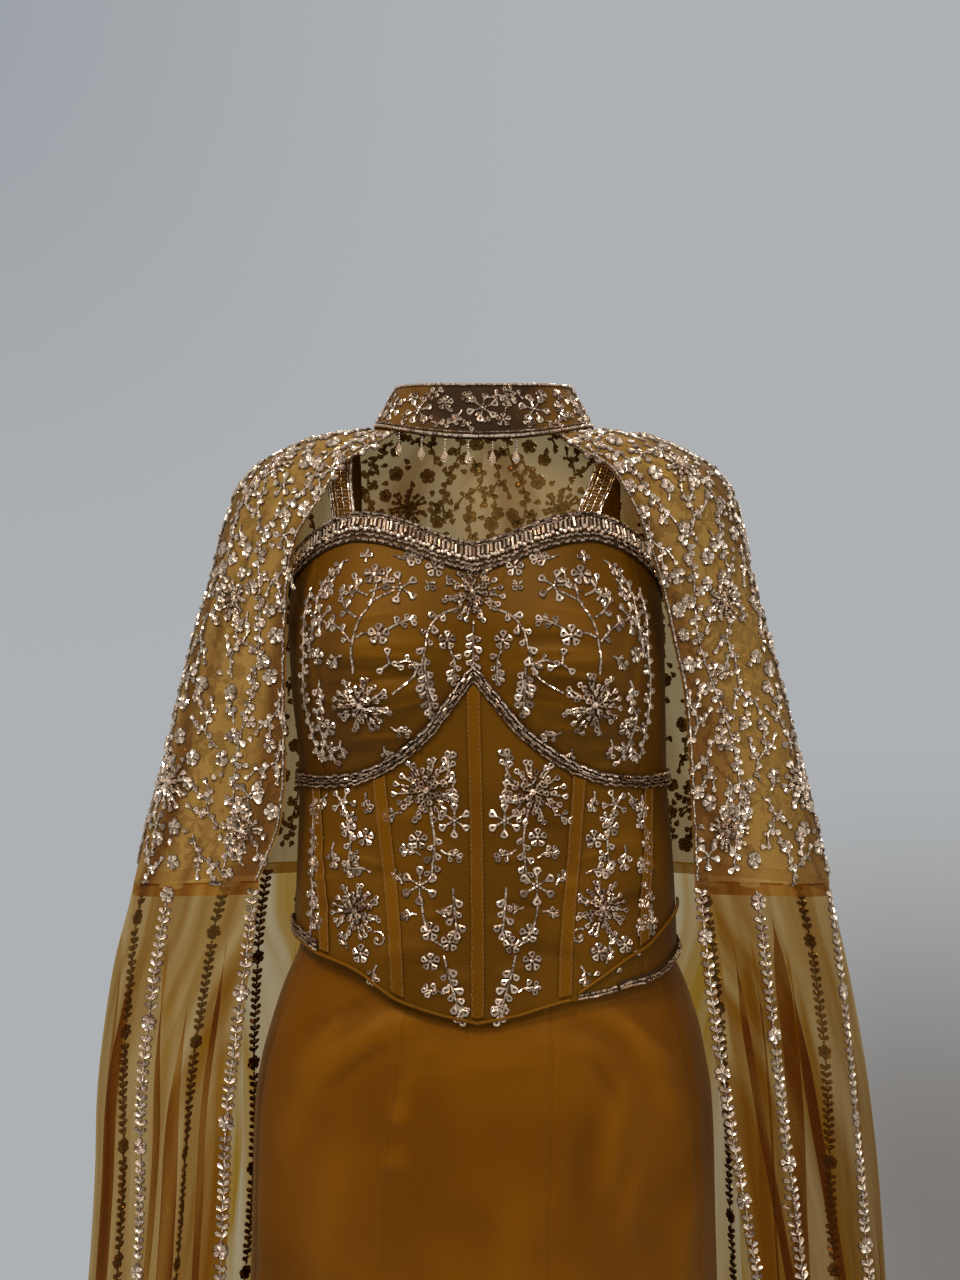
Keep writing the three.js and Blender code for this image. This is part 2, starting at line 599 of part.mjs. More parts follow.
// A band that lies on the bodice along a line, from so far above it to so far below it.
function bandWall({ from, to, line, above, below, across, down = 1, pace }) {
  return tubePanel(bodiceAt, {
    from: level(from), to: level(to), pace,
    top: (azimuth) => line(azimuth) + above(azimuth), bottom: (azimuth) => line(azimuth) - below(azimuth),
    across, down, thickness: TRIM_WALL, lift: BAND_GAP + TRIM_WALL,
  });
}

// Azimuths of the corners of the bodice panels, so that those of a band lie over them.
const steps = (from, to, count) => Array.from({ length: count }, (_, k) => mix(from, to, k / count));
const FRONT_TURNS = [
  ...steps(-SIDE_SEAM, -CUP_SEAM, CUP_SIDE_STEPS), ...steps(-CUP_SEAM, CUP_SEAM, 2 * CUP_STEPS),
  ...steps(CUP_SEAM, SIDE_SEAM, CUP_SIDE_STEPS), SIDE_SEAM,
];
const BACK_TURNS = [
  ...steps(SIDE_SEAM, 140, SIDE_BACK_STEPS), ...steps(140, 220, 2 * BACK_STEPS),
  ...steps(220, 270, SIDE_BACK_STEPS), 270,
];

// Pace that goes from turn to turn in equal parts of s.
function paceThrough(turns) {
  const last = turns.length - 1;
  return (s) => {
    const k = Math.min(Math.floor(s * last), last - 1);
    return (mix(turns[k], turns[k + 1], s * last - k) - turns[0]) / (turns[last] - turns[0]);
  };
}

function addBands() {
  const neckBand = { line: necklineAt, above: level(-0.2), below: level(NECK_BAND_HEIGHT), down: 2 };
  const frontEnd = SIDE_SEAM - 0.3;
  const front = { from: -frontEnd, to: frontEnd, across: FRONT_TURNS.length - 1, pace: paceThrough(FRONT_TURNS) };
  const back = { from: 90.3, to: 269.7, across: BACK_TURNS.length - 1, pace: paceThrough(BACK_TURNS) };
  add("neckline_band_front", BEADWORK, bandWall({ ...neckBand, ...front }));
  add("neckline_band_back", BEADWORK, bandWall({ ...neckBand, ...back }));
  add("underbust_band", BEADWORK, bandWall({
    ...front, line: underbustAt, above: underbustBandHalf, below: underbustBandHalf, down: 2,
  }));
  const hemBand = { line: hemAt, above: level(HEM_BAND_HEIGHT), below: level(-0.3) };
  add("hem_band_left", BEADWORK, bandWall({ ...hemBand, from: 52, to: frontEnd, across: 8 }));
  const rightBand = { line: pipingAt, above: level(PIPING_RADIUS + 0.8 + HEM_BAND_HEIGHT), below: level(-PIPING_RADIUS - 1.2) };
  add("hem_band_right", BEADWORK, bandWall({ ...rightBand, from: -frontEnd, to: -65, across: 5 }));
}

// A round cord that lies on the bodice along a line.
function pipingCord(from, to, line, steps) {
  const points = [];
  for (let k = 0; k <= steps; k++) {
    const azimuth = mix(from, to, k / steps);
    const z = line(azimuth);
    const normal = normalOf(bodiceAt, azimuth, z, 0.4, -0.4);
    points.push(bodiceAt(azimuth, z).addScaledVector(normal, PIPING_RADIUS + ON_TOP_GAP));
  }
  const section = new THREE.Shape();
  section.absarc(0, 0, PIPING_RADIUS, 0, 2 * Math.PI, false);
  return new THREE.ExtrudeGeometry(section, {
    steps, bevelEnabled: false, curveSegments: 3, extrudePath: new THREE.CatmullRomCurve3(points),
  });
}

function addPiping() {
  add("hem_piping", RIBBON, pipingCord(-179.5, 36, pipingAt, 44));
  add("left_piping", RIBBON, pipingCord(38.5, 88.5, leftPipingAt, 12));
}

// Azimuth on the neckline whose point lies so far to the side.
function neckAzimuthFor(x) {
  let low = 0;
  let high = SIDE_SEAM;
  for (let pass = 0; pass < 30; pass++) {
    const middle = (low + high) / 2;
    const azimuth = Math.sign(x) * middle;
    if (Math.abs(bodiceAt(azimuth, necklineAt(azimuth)).x) < Math.abs(x)) low = middle;
    else high = middle;
  }
  return Math.sign(x) * low;
}

// A strap: tucked inside the front edge, over the shoulder and tucked inside the back edge.
function strapWall({ side, low, high }) {
  const atEdge = (azimuth, below) => {
    const z = necklineAt(azimuth) - below;
    const normal = normalOf(bodiceAt, azimuth, z, 0.4, -0.4);
    return bodiceAt(azimuth, z).addScaledVector(normal, -CORSET_WALL - STRAP_INSET);
  };
  const frontTurn = Math.abs(neckAzimuthFor(side * low));
  const front = [STRAP.tuck, 2].map((below) => atEdge(side * frontTurn, below));
  const back = [2, STRAP.tuck].map((below) => atEdge(side * STRAP.backTurn, below));
  const highest = STRAP_PATH[3].z;
  const middle = STRAP_PATH.map(({ y, z }, k) => {
    const rise = k < 3 ? (z + 72) / (highest + 72) : 1;
    return new THREE.Vector3(side * mix(low, high, rise), y, z);
  });
  const path = new THREE.CatmullRomCurve3([...front, ...middle, ...back], false, "centripetal");
  const place = (s, t) => {
    const centre = path.getPointAt(t);
    const along = path.getTangentAt(t);
    const turned = mix(frontTurn, 180 - STRAP.backTurn, t) * DEGREE * 0.55;
    const slant = side * (t < 0.5 ? 1 : -1) * Math.sin(turned) * Math.abs(1 - 2 * t);
    const across = new THREE.Vector3(Math.cos(turned), slant, 0).normalize();
    const normal = across.clone().cross(along).normalize();
    return { point: centre.clone().addScaledVector(across, (0.5 - s) * STRAP.width), normal };
  };
  return clothWall(place, { across: 2, down: 22, thickness: STRAP_WALL });
}

function addStraps() {
  for (const { name, ...strap } of STRAPS) add(name, BEADWORK, strapWall(strap));
}

function addSkirt() {
  const seam = (column) => (z) => reading(SKIRT_SEAMS, "z", column, z);
  const around = (column) => (z) => 360 + seam(column)(z);
  const panels = [
    { name: "skirt_front", from: seam("right"), to: seam("left"), across: 10 },
    { name: "skirt_side_front_left", from: seam("left"), to: seam("sideLeft"), across: 9 },
    { name: "skirt_back_left", from: seam("sideLeft"), to: level(BACK_SEAM), across: 17 },
    { name: "skirt_back_right", from: level(BACK_SEAM), to: around("sideRight"), across: 17 },
    { name: "skirt_side_front_right", from: seam("sideRight"), to: seam("right"), across: 9 },
  ];
  for (const { name, from, to, across } of panels)
    add(name, SATIN, tubePanel(skirtAt, {
      from: moved(from, SEAM_HALF_GAP_DEG), to: moved(to, -SEAM_HALF_GAP_DEG),
      top: level(SKIRT_TOP), bottom: level(SKIRT_HEM), fall: (t) => t ** SKIRT_ROW_PACE,
      across, down: 13, thickness: SKIRT_WALL,
    }));
}

// A piece of the cape between two shares of the way round it.
function capeWall(surface, from, to, top, bottom, across, down) {
  const place = (s, t) => {
    const share = mix(from, to, s);
    const depth = mix(top, bottom, t);
    return { point: surface(share, depth), normal: normalOf(surface, share, depth, 0.004, 0.004) };
  };
  return clothWall(place, { across, down, thickness: TULLE_WALL });
}

function addCape() {
  const gap = 0.0003;
  add("cape_yoke_left", TULLE, capeWall(yokeAt, 0.004, 0.5 - gap, 0, 1, 20, 11));
  add("cape_yoke_right", TULLE, capeWall(yokeAt, 0.5 + gap, 0.996, 0, 1, 20, 11));
  const { left, back, right } = DRAPE_SEAMS;
  const panels = [
    { name: "cape_drape_front_left", from: 0.004, to: left - gap, across: 27 },
    { name: "cape_drape_back_left", from: left + gap, to: back - gap, across: 21 },
    { name: "cape_drape_back_right", from: back + gap, to: right - gap, across: 21 },
    { name: "cape_drape_front_right", from: right + gap, to: 0.996, across: 27 },
  ];
  for (const { name, from, to, across } of panels)
    add(name, TULLE, capeWall(drapeAt, from, to, 0, 1, across, 8));
}

function addCollar() {
  const from = 180 + COLLAR_BACK_GAP_DEG;
  const to = 540 - COLLAR_BACK_GAP_DEG;
  const place = (s, t) => {
    const azimuth = mix(from, to, s);
    const up = 1 - t;
    const inside = Math.min(Math.max(up, 0.01), 0.99);
    return { point: collarAt(azimuth, up), normal: normalOf(collarAt, azimuth, inside, 0.4, -0.01) };
  };
  add("collar", COLLAR_CLOTH, clothWall(place, { across: 52, down: 2, thickness: COLLAR_WALL }));
}

function asManifold(geometry) {
  return new wasm.Manifold(new wasm.Mesh({
    numProp: 3,
    vertProperties: new Float32Array(geometry.getAttribute("position").array),
    triVerts: new Uint32Array(geometry.index.array),
  }));
}

function fromManifold(solid) {
  const { vertProperties, triVerts } = solid.getMesh();
  const geometry = new THREE.BufferGeometry();
  geometry.setAttribute("position", new THREE.BufferAttribute(new Float32Array(vertProperties), 3));
  geometry.setIndex(new THREE.BufferAttribute(new Uint32Array(triVerts), 1));
  return geometry;
}

// A turned solid of few sides: rows give its height and radius, and its two ends close on the axis.
function turned(rows, sides, centre) {
  const points = [new THREE.Vector3(centre.x, centre.y, centre.z + rows[0].z)];
  for (const { z, r } of rows)
    for (let k = 0; k < sides; k++) {
      const turn = 2 * Math.PI * k / sides;
      points.push(new THREE.Vector3(centre.x + r * Math.cos(turn), centre.y + r * Math.sin(turn), centre.z + z));
    }
  points.push(new THREE.Vector3(centre.x, centre.y, centre.z + rows[rows.length - 1].z));
  const at = (row, k) => 1 + row * sides + (k % sides);
  const end = points.length - 1;
  const triangles = [];
  for (let k = 0; k < sides; k++) {
    triangles.push(0, at(0, k), at(0, k + 1));
    triangles.push(end, at(rows.length - 1, k + 1), at(rows.length - 1, k));
    for (let row = 0; row < rows.length - 1; row++) {
      triangles.push(at(row, k), at(row + 1, k), at(row + 1, k + 1));
      triangles.push(at(row, k), at(row + 1, k + 1), at(row, k + 1));
    }
  }
  return solidFrom(points, triangles);
}

// Azimuth on the collar's lower edge whose point lies at x.
function collarAzimuthFor(x) {
  let low = -80;
  let high = 80;
  for (let pass = 0; pass < 30; pass++) {
    const middle = (low + high) / 2;
    if (collarAt(middle, 0).x < x) low = middle;
    else high = middle;
  }
  return (low + high) / 2;
}

// Drops on short threads, all fused to one strip that lies just inside the collar's lower edge.
function addCollarDrops() {
  const { first, spacing, count, thread, length, radius } = DROPS;
  const last = first + spacing * (count - 1);
  const stripAt = (azimuth, up) => {
    const edge = collarAt(azimuth, 0);
    const middle = new THREE.Vector3(COLLAR_CENTRE, 0, edge.z);
    return edge.lerp(middle, DROP_STRIP.inset / 80).setZ(edge.z - DROP_STRIP.below - 2 + up * DROP_STRIP.height);
  };
  const from = collarAzimuthFor(first - 3);
  const to = collarAzimuthFor(last + 3);
  const place = (s, t) => {
    const azimuth = mix(from, to, s);
    return { point: stripAt(azimuth, 1 - t), normal: normalOf(stripAt, azimuth, 1 - t, 0.4, -0.05) };
  };
  let joined = asManifold(clothWall(place, { across: 16, down: 1, thickness: DROP_STRIP.wall }));
  for (let k = 0; k < count; k++) {
    const azimuth = collarAzimuthFor(first + spacing * k);
    const root = stripAt(azimuth, 0.5);
    const inward = normalOf(stripAt, azimuth, 0.5, 0.4, -0.05).multiplyScalar(-DROP_STRIP.wall / 2);
    const centre = root.add(inward);
    const below = -thread - DROP_STRIP.height / 2;
    const rows = [
      { z: 0, r: 0.6 },
      { z: below, r: 0.6 },
      { z: below - length * 0.3, r: radius * 0.62 },
      { z: below - length * 0.66, r: radius },
      { z: below - length, r: 0.5 },
    ];
    joined = joined.add(asManifold(turned(rows, 6, centre)));
  }
  add("collar_drops", GLASS_DROP, fromManifold(joined));
}

addBodice();
addBones();
addBands();
addPiping();
addStraps();
addSkirt();
addCape();
addCollar();
addCollarDrops();

export default gown;
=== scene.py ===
"""Cape gown, on display: boned satin corset and skirt, sheer beaded cape on a stand collar. The shapes are
worked out in millimetres, +Z up, with the front facing -Y, and turned into metres where a mesh is made. Left
and right are the wearer's: left is +X. Azimuth 0 is the front and 90 the left side."""

import math

import bpy
import numpy as np
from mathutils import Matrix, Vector


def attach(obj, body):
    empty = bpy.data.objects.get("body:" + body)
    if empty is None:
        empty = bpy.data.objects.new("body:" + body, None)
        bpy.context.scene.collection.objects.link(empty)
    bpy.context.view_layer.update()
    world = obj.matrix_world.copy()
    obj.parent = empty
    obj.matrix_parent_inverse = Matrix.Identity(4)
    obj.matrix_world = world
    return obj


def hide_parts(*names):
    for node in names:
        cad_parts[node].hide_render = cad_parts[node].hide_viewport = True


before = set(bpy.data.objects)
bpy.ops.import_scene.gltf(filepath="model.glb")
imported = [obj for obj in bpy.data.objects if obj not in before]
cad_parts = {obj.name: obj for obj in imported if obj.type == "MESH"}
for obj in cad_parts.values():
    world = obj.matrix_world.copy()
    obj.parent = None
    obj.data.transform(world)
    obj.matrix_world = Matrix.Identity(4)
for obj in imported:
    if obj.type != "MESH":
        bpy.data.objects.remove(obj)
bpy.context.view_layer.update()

MM = 0.001
SEED = 7
RIBBON_HALF = 5.15
UNDERBUST_BAND_HALF = 4.75
NECKLINE_BAND = 23.5
ON_CORSET = 1.6
PIPING_RADIUS, PIPING_LIFT = 1.3, 1.9
STRAP_HALF = 10
BANDS_FRONT, BANDS_BACK = (-89.7, 89.7), (90.3, 269.7)


# Tables of sections

class Table:
    """Rows with named columns, read between rows by a smooth curve. The first column is the key."""

    def __init__(self, names, *rows):
        names = names.split()
        rows = sorted(rows)
        self.column = dict(zip(names, np.array(rows, float).T))
        self.keys = self.column[names[0]]
        self.tangents = {name: self.slopes(values) for name, values in self.column.items()}

    def slopes(self, values):
        slope = np.diff(values) / np.diff(self.keys)
        before, after = slope[:-1], slope[1:]
        agree = before * after > 0
        inner = np.where(agree, 2 * before * after / np.where(agree, before + after, 1), 0)
        return np.concatenate([slope[:1], inner, slope[-1:]])

    def read(self, name, x):
        keys, values, tangents = self.keys, self.column[name], self.tangents[name]
        place = np.clip(x, keys[0], keys[-1])
        i = np.clip(np.searchsorted(keys, place, side="right") - 1, 0, len(keys) - 2)
        width = keys[i + 1] - keys[i]
        t = (place - keys[i]) / width
        rise = t * t * (3 - 2 * t)
        bend = tangents[i] * t * (1 - t) ** 2 - tangents[i + 1] * t * t * (1 - t)
        return values[i] * (1 - rise) + values[i + 1] * rise + width * bend

    def each(self, names, x):
        return [self.read(name, x) for name in names.split()]


BODICE_RINGS = Table(
    "z half front back middle lean", (-470, 154, 100.5, 110, -2, 7), (-430, 152.5, 97.5, 103, -2, 7),
    (-390, 151.5, 93.5, 95, -2, 6.5), (-340, 149.5, 89.5, 88, -2.5, 6.5), (-300, 147, 88, 87, -3, 6),
    (-260, 146, 89, 90, -4, 6), (-210, 148, 91, 94, -5, 4), (-160, 149, 91, 96, -5, 2),
    (-110, 145, 88, 96, -5, 1), (-60, 138, 82, 92, -5, 0),
)
BODICE_POWER = 2.3
NECKLINE = Table(
    "azimuth z", (0, -95), (15, -89), (24, -83), (35, -76), (44, -72), (50, -71), (56, -73.5), (63, -79.5),
    (71, -90), (90, -111), (115, -119), (145, -122), (180, -124),
)
UNDERBUST = Table(
    "azimuth z", (0, -192), (10, -212), (21, -235), (33, -253), (43.5, -265.5), (54, -273), (66, -276),
    (90, -277),
)
CORSET_HEM = Table(
    "azimuth right left", (0, -453, -453), (16, -447, -447.5), (26, -442, -442), (34, -437, -438),
    (40, -430, -436.5), (48, -419, -434), (55, -413, -430.5), (65, -408, -427), (75, -401, -419),
    (90, -397, -410), (120, -394, -399), (180, -392, -392),
)
LEFT_PIPING = Table("azimuth z", (37, -433), (47, -420), (56, -408), (63, -401), (71, -389), (86, -374))
CORSET_SEAMS = Table(
    "z middle outer back", (-440, 33.5, 60.5, 142), (-400, 35.5, 62.2, 141), (-280, 42.9, 68.2, 140),
    (-120, 46, 70, 140),
)
CUP = dict(swell=30, centre=72, spread=52, fullest=0.45, top=0.12, fade_from=66, fade_to=90)
CUP_SEAM, SIDE_SEAM = 64, 90
SEAM_GAP_DEG = 0.02

SKIRT_RINGS = Table(
    "z half front back power centre",
    (-1440, 306, 250, 276, 2.2, 3), (-1320, 284, 222, 246, 2.2, 3), (-1200, 260, 192, 212, 2.2, 3),
    (-1080, 234, 160, 178, 2.2, 3), (-960, 210, 132, 150, 2.2, 3), (-860, 196, 116, 134, 2.2, 3),
    (-760, 188, 108, 126, 2.2, 3), (-670, 185.5, 105, 126, 2.2, 3), (-610, 184, 105, 128, 2.2, 3),
    (-560, 183, 104, 129, 2.2, 3), (-525, 181, 102, 127, 2.2, 3), (-500, 177, 100, 122, 2.2, 3),
    (-470, 170, 97, 114, 2.1, 4), (-440, 160, 92, 104, 2, 4), (-415, 149, 88.5, 92, 2.05, 4),
    (-400, 145, 87, 88, 2.1, 3.5), (-366, 142, 84.5, 83.5, 2.15, 3),
)
SKIRT_TOP, SKIRT_HEM = -368, -1440
SKIRT_SEAMS = Table(
    "z right left side_right side_left", (-1440, -41, 30, -86, 84), (-900, -40, 27, -82, 78),
    (-632, -38, 25, -79, 72), (-448, -34, 28.5, -79, 72), (-366, -32, 29, -80, 74),
)

YOKE_RINGS = Table(
    "at half front back side fore aft right left centre",
    (0, 87.3, 78.8, 78.8, -1, -18.5, 19, 66, 55, 3), (1, 128, 98, 95, -6, -34, 8, 81, 69, 3),
    (2, 160, 104, 108, -18, -49.5, -10, 104, 91, 3), (3, 183, 107, 115, -32, -68, -32, 114, 101.5, 3),
    (4, 198, 106, 119, -52, -89, -58, 127, 112, 3), (5, 206, 103, 121, -80, -108, -86, 138, 121, 2),
    (6, 215, 97, 122, -115, -140, -120, 144, 131.5, 2), (7, 229, 90, 124, -165, -170, -168, 145, 141, 1),
    (8, 241.5, 86, 126, -215, -213, -216, 145, 150.5, 1), (9, 254, 82, 129, -265, -257, -264, 144.5, 154, 1),
    (10, 266, 79, 132, -312, -300, -312, 148, 156.5, 1), (11, 277, 77, 136, -360, -346, -360, 166, 159, 1),
)
DRAPE_RINGS = Table(
    "z half front back right left centre", (-1400, 392, 252, 316, 272, 272, 1),
    (-1250, 374, 220, 286, 255, 256, 2), (-1100, 356, 186, 254, 236, 238, 3),
    (-950, 338, 152, 224, 216, 221, 5), (-800, 322, 122, 200, 203, 208, 7),
    (-680, 312, 104, 185, 197, 197, 8), (-600, 307, 96, 176, 193, 185, 7),
    (-530, 303, 90, 168, 188, 176, 4), (-450, 293, 84, 156, 177, 167, 2),
    (-400, 285, 80, 146, 169, 162, 1), (-360.3, 277, 77, 136, 166, 159, 1),
)
CAPE_POWER = 2
DRAPE_TOP, DRAPE_HEM, DRAPE_TOP_LIFT = -360.3, -1400, 14
DRAPE_SEAMS = (0.004, 0.29, 0.5, 0.71, 0.996)
DRAPE_FOLDS = [  # at, width, depth at the hem, share of it at the seam
    (0.035, 0.032, 16, 0.14), (0.098, 0.028, 20, 0.2), (0.152, 0.025, 15, 0.1), (0.205, 0.027, 26, 0.16),
    (0.262, 0.026, 18, 0.12), (0.312, 0.024, 24, 0.2), (0.366, 0.027, 21, 0.12), (0.422, 0.026, 27, 0.18),
    (0.474, 0.024, 19, 0.14), (0.528, 0.027, 25, 0.16), (0.582, 0.025, 20, 0.12), (0.636, 0.027, 26, 0.18),
    (0.688, 0.024, 18, 0.12), (0.741, 0.026, 23, 0.2), (0.795, 0.028, 27, 0.16), (0.85, 0.025, 15, 0.1),
    (0.904, 0.028, 21, 0.2), (0.965, 0.032, 15, 0.14),
]
# Pleats that fold over themselves: place, half the cloth in it, and how far it folds
DRAPE_PLEATS = [
    (0.03, 0.012, 0.6), (0.075, 0.013, 0.95), (0.165, 0.014, 0.8), (0.236, 0.013, 0.9),
    (0.262, 0.011, 0.6), (0.335, 0.014, 0.85), (0.4, 0.013, 0.7), (0.465, 0.014, 0.9),
    (0.535, 0.013, 0.75), (0.6, 0.014, 0.9), (0.667, 0.013, 0.65), (0.785, 0.013, 0.9),
    (0.862, 0.014, 0.85), (0.893, 0.011, 0.55), (0.95, 0.012, 0.95), (0.975, 0.009, 0.6),
]
YOKE_CREASES = [
    (0.1, 0.05, 2.5), (0.21, 0.045, 3.5), (0.34, 0.05, 3), (0.45, 0.045, 2.5), (0.56, 0.05, 3),
    (0.68, 0.045, 2.5), (0.79, 0.05, 3.5), (0.9, 0.045, 2.5),
]
COLLAR_RINGS = Table("at half front back side fore aft", (0, 87, 78.5, 78.5, 0.5, -16.5, 21),
                     (1, 70, 62.5, 65, 32, 27.5, 44))
COLLAR_POWER, COLLAR_CENTRE = 2.1, 3


def smooth(low, high, x):
    t = np.clip((x - low) / (high - low), 0, 1)
    return t * t * (3 - 2 * t)


def mix(a, b, t):
    return a + (b - a) * t


def bearing(angle):
    return math.cos(math.radians(angle)), math.sin(math.radians(angle))


def paired(a, b):
    return np.broadcast_arrays(np.asarray(a, float), np.asarray(b, float))


def run_along(points):
    """Length of the way to each point."""
    return np.concatenate([[0], np.cumsum(np.linalg.norm(np.diff(points, axis=0), axis=1))])


def ring_point(half, front, back, power, azimuth):
    sine, cosine = np.sin(np.radians(azimuth)), np.cos(np.radians(azimuth))
    depth = np.where(cosine > 0, front, back)
    reach = (np.abs(sine / half) ** power + np.abs(cosine / depth) ** power) ** (-1 / power)
    return reach * sine, -reach * cosine


def ring_normal(half, front, back, power, x, y):
    depth = np.where(y < 0, front, back)
    across = np.sign(x) * np.abs(x / half) ** (power - 1) / half
    along = np.sign(y) * np.abs(y / depth) ** (power - 1) / depth
    long = np.hypot(across, along)
    return across / long, along / long


def tilted(y, front, back, side, fore, aft):
    """Height of a ring that rises or falls from its sides to its front and back."""
    return mix(side, np.where(y < 0, fore, aft), np.where(y < 0, (y / front) ** 2, (y / back) ** 2))


def wrapped(azimuth):
    return (np.asarray(azimuth) + 180) % 360 - 180


def neckline(azimuth):
    return NECKLINE.read("z", np.abs(wrapped(azimuth)))


def underbust(azimuth):
    return UNDERBUST.read("z", np.abs(wrapped(azimuth)))


def corset_hem(azimuth):
    turn = wrapped(azimuth)
    right, left = CORSET_HEM.each("right left", np.abs(turn))
    return np.where(turn < 0, right, left)


def piping_line(azimuth):
    turn = wrapped(azimuth)
    on_left = (turn > 37) & (turn < 90)
    return np.where(on_left, LEFT_PIPING.read("z", turn), corset_hem(turn) + 1.7)


def creases(table, x, z):
    """Soft ridges and troughs: a row is a place, the angle it runs at, half its length, width and depth."""
    total = np.zeros(np.broadcast(x, z).shape)
    for place_x, place_z, angle, half_length, width, depth in table:
        c, s = bearing(angle)
        along = (x - place_x) * c + (z - place_z) * s
        across = (z - place_z) * c - (x - place_x) * s
        bow = across + (along / half_length) ** 2 * width * 0.8
        total += depth * np.exp(-((bow / width) ** 2)) * (1 - smooth(0.3, 1, np.abs(along) / half_length))
    return total


# x, z, angle, half length, width, depth
CUP_CREASES = [
    (-62, -172, 4, 46, 6, 1.0), (-70, -190, -6, 52, 5, -1.1), (-58, -206, 8, 44, 6, 1.0),
    (-84, -224, 14, 36, 5, -0.9), (-40, -228, 38, 22, 4, 0.8), (52, -168, -5, 44, 6, -0.9),
    (60, -184, 6, 50, 5, 1.1), (66, -203, -8, 46, 6, -1.1), (80, -220, -12, 40, 5, 0.9),
    (36, -222, -36, 24, 4, 0.8), (104, -178, 70, 30, 5, 0.8), (-108, -180, -72, 30, 5, 0.8),
    (95, -250, -8, 26, 4, 0.8), (-92, -252, 10, 26, 4, -0.8), (58, -176, 3, 34, 2.4, 0.8),
    (70, -195, -9, 40, 2.2, 0.9), (50, -212, -14, 30, 2.4, -0.8), (90, -208, 16, 26, 2.2, 0.8),
    (74, -234, -4, 30, 2.4, 0.9), (98, -262, 10, 24, 2.4, 0.7), (-56, -180, -3, 36, 2.4, 0.9),
    (-74, -198, 8, 38, 2.2, -0.8), (-48, -216, 16, 28, 2.4, 0.8), (-66, -240, 3, 32, 2.3, 0.9),
    (-96, -214, -18, 26, 2.2, 0.8), (20, -120, 60, 18, 2.6, 0.6), (-18, -128, -58, 18, 2.6, 0.6),
    (64, -146, -12, 24, 2.6, 0.6), (-72, -150, 10, 26, 2.6, 0.6), (112, -200, 84, 34, 2.6, 0.9),
    (-114, -196, -84, 34, 2.6, 0.9),
]
CORSET_CREASES = [
    (-60, -300, 6, 30, 5, 0.7), (-66, -344, -8, 34, 6, -0.7), (-58, -398, 10, 32, 6, 0.7),
    (48, -308, -7, 32, 5, -0.7), (56, -352, 6, 30, 6, 0.7), (50, -400, -10, 34, 6, -0.7),
    (-112, -330, 12, 24, 6, 0.9), (-110, -372, -8, 26, 6, -0.9), (108, -322, -12, 24, 6, 0.9),
    (112, -366, 9, 26, 6, -0.9), (-20, -420, 14, 26, 5, 0.6), (22, -380, -14, 24, 5, 0.6),
    (30, -330, 8, 18, 2.3, 0.6), (34, -366, -6, 20, 2.3, -0.6), (26, -412, 10, 18, 2.3, 0.6),
    (-32, -322, -9, 18, 2.3, 0.6), (-30, -372, 7, 20, 2.3, 0.6), (-36, -410, -8, 20, 2.3, -0.6),
    (84, -330, 12, 18, 2.4, 0.7), (88, -378, -10, 18, 2.4, 0.7), (-86, -334, -12, 18, 2.4, 0.7),
    (-90, -362, 9, 18, 2.4, -0.7), (124, -340, -16, 18, 2.4, 0.8), (-124, -350, 14, 18, 2.4, 0.8),
]
BACK_CREASES = [
    (-50, -210, 8, 46, 8, 1.4), (48, -236, -9, 44, 8, -1.4), (-60, -270, -6, 50, 7, 1.5),
    (52, -300, 7, 46, 7, 1.5), (-46, -330, 9, 44, 7, -1.4), (60, -352, -8, 40, 7, 1.2),
    (20, -180, 5, 40, 8, -1),
]
SKIRT_FRONT_CREASES = [
    (-112, -446, 34, 34, 3.4, 2.0), (-96, -486, 40, 36, 3.6, -1.8), (-128, -476, 52, 40, 4, 2.0),
    (-72, -452, 22, 26, 3, 1.4), (-58, -476, 16, 26, 3.2, 1.2), (100, -452, -30, 34, 3.4, 1.9),
    (124, -474, -46, 40, 4, 2.0), (66, -470, -14, 30, 3.4, 1.2), (92, -500, -58, 34, 4, -1.6),
    (30, -462, -6, 34, 3.4, 1.0), (-24, -470, 8, 34, 3.4, 1.0), (-98, -470, 36, 60, 7, 3.2),
    (-118, -452, 30, 42, 5, -2.2), (-76, -462, 24, 40, 6, 2.2), (-60, -505, 72, 34, 8, 1.8),
    (-64, -520, 30, 12, 5, 3.0), (-66, -551, 14, 14, 5, 3.4), (112, -470, -34, 52, 7, 3.0),
    (88, -462, -22, 40, 6, -2.0), (132, -500, -60, 50, 9, 2.4), (96, -540, 80, 60, 10, 2.4),
    (74, -560, 84, 50, 8, -1.6), (108, -590, 76, 44, 9, 1.8), (-140, -520, 68, 70, 10, 2.4),
    (-120, -600, 80, 80, 12, 2.0), (6, -480, 6, 60, 7, 1.4), (20, -640, 86, 90, 14, 1.6),
    (-30, -700, 88, 120, 16, 2.0), (150, -640, 84, 80, 12, 2.2), (86, -760, 86, 120, 14, 2.4),
    (-96, -800, 92, 130, 16, 2.6),
]
SKIRT_BACK_CREASES = [
    (-60, -440, 30, 50, 8, 3), (64, -448, -28, 50, 8, 3), (0, -470, 4, 60, 9, -2),
    (-90, -540, 78, 70, 12, 3), (84, -560, 100, 70, 12, 3), (-20, -620, 88, 110, 14, 2.4),
    (40, -700, 94, 110, 14, -2.4), (-70, -760, 84, 120, 15, 2.6),
]


def cup_swell(azimuth, x, z):
    turn = np.abs(wrapped(azimuth))
    fade = 1 - smooth(CUP["fade_from"], CUP["fade_to"], turn)
    low = underbust(turn)
    height = (z - low) / (neckline(turn) - low)
    full = CUP["fullest"]
    below = 1 - (1 - height / full) ** 2
    above = mix(CUP["top"], 1, np.cos((np.minimum(height, 1.1) - full) / (1 - full) * np.pi / 2) ** 2)
    rise = np.where(height <= 0, 0, np.where(height < full, below, above))
    return CUP["swell"] * fade * rise * np.exp(-(((np.abs(x) - CUP["centre"]) / CUP["spread"]) ** 2))


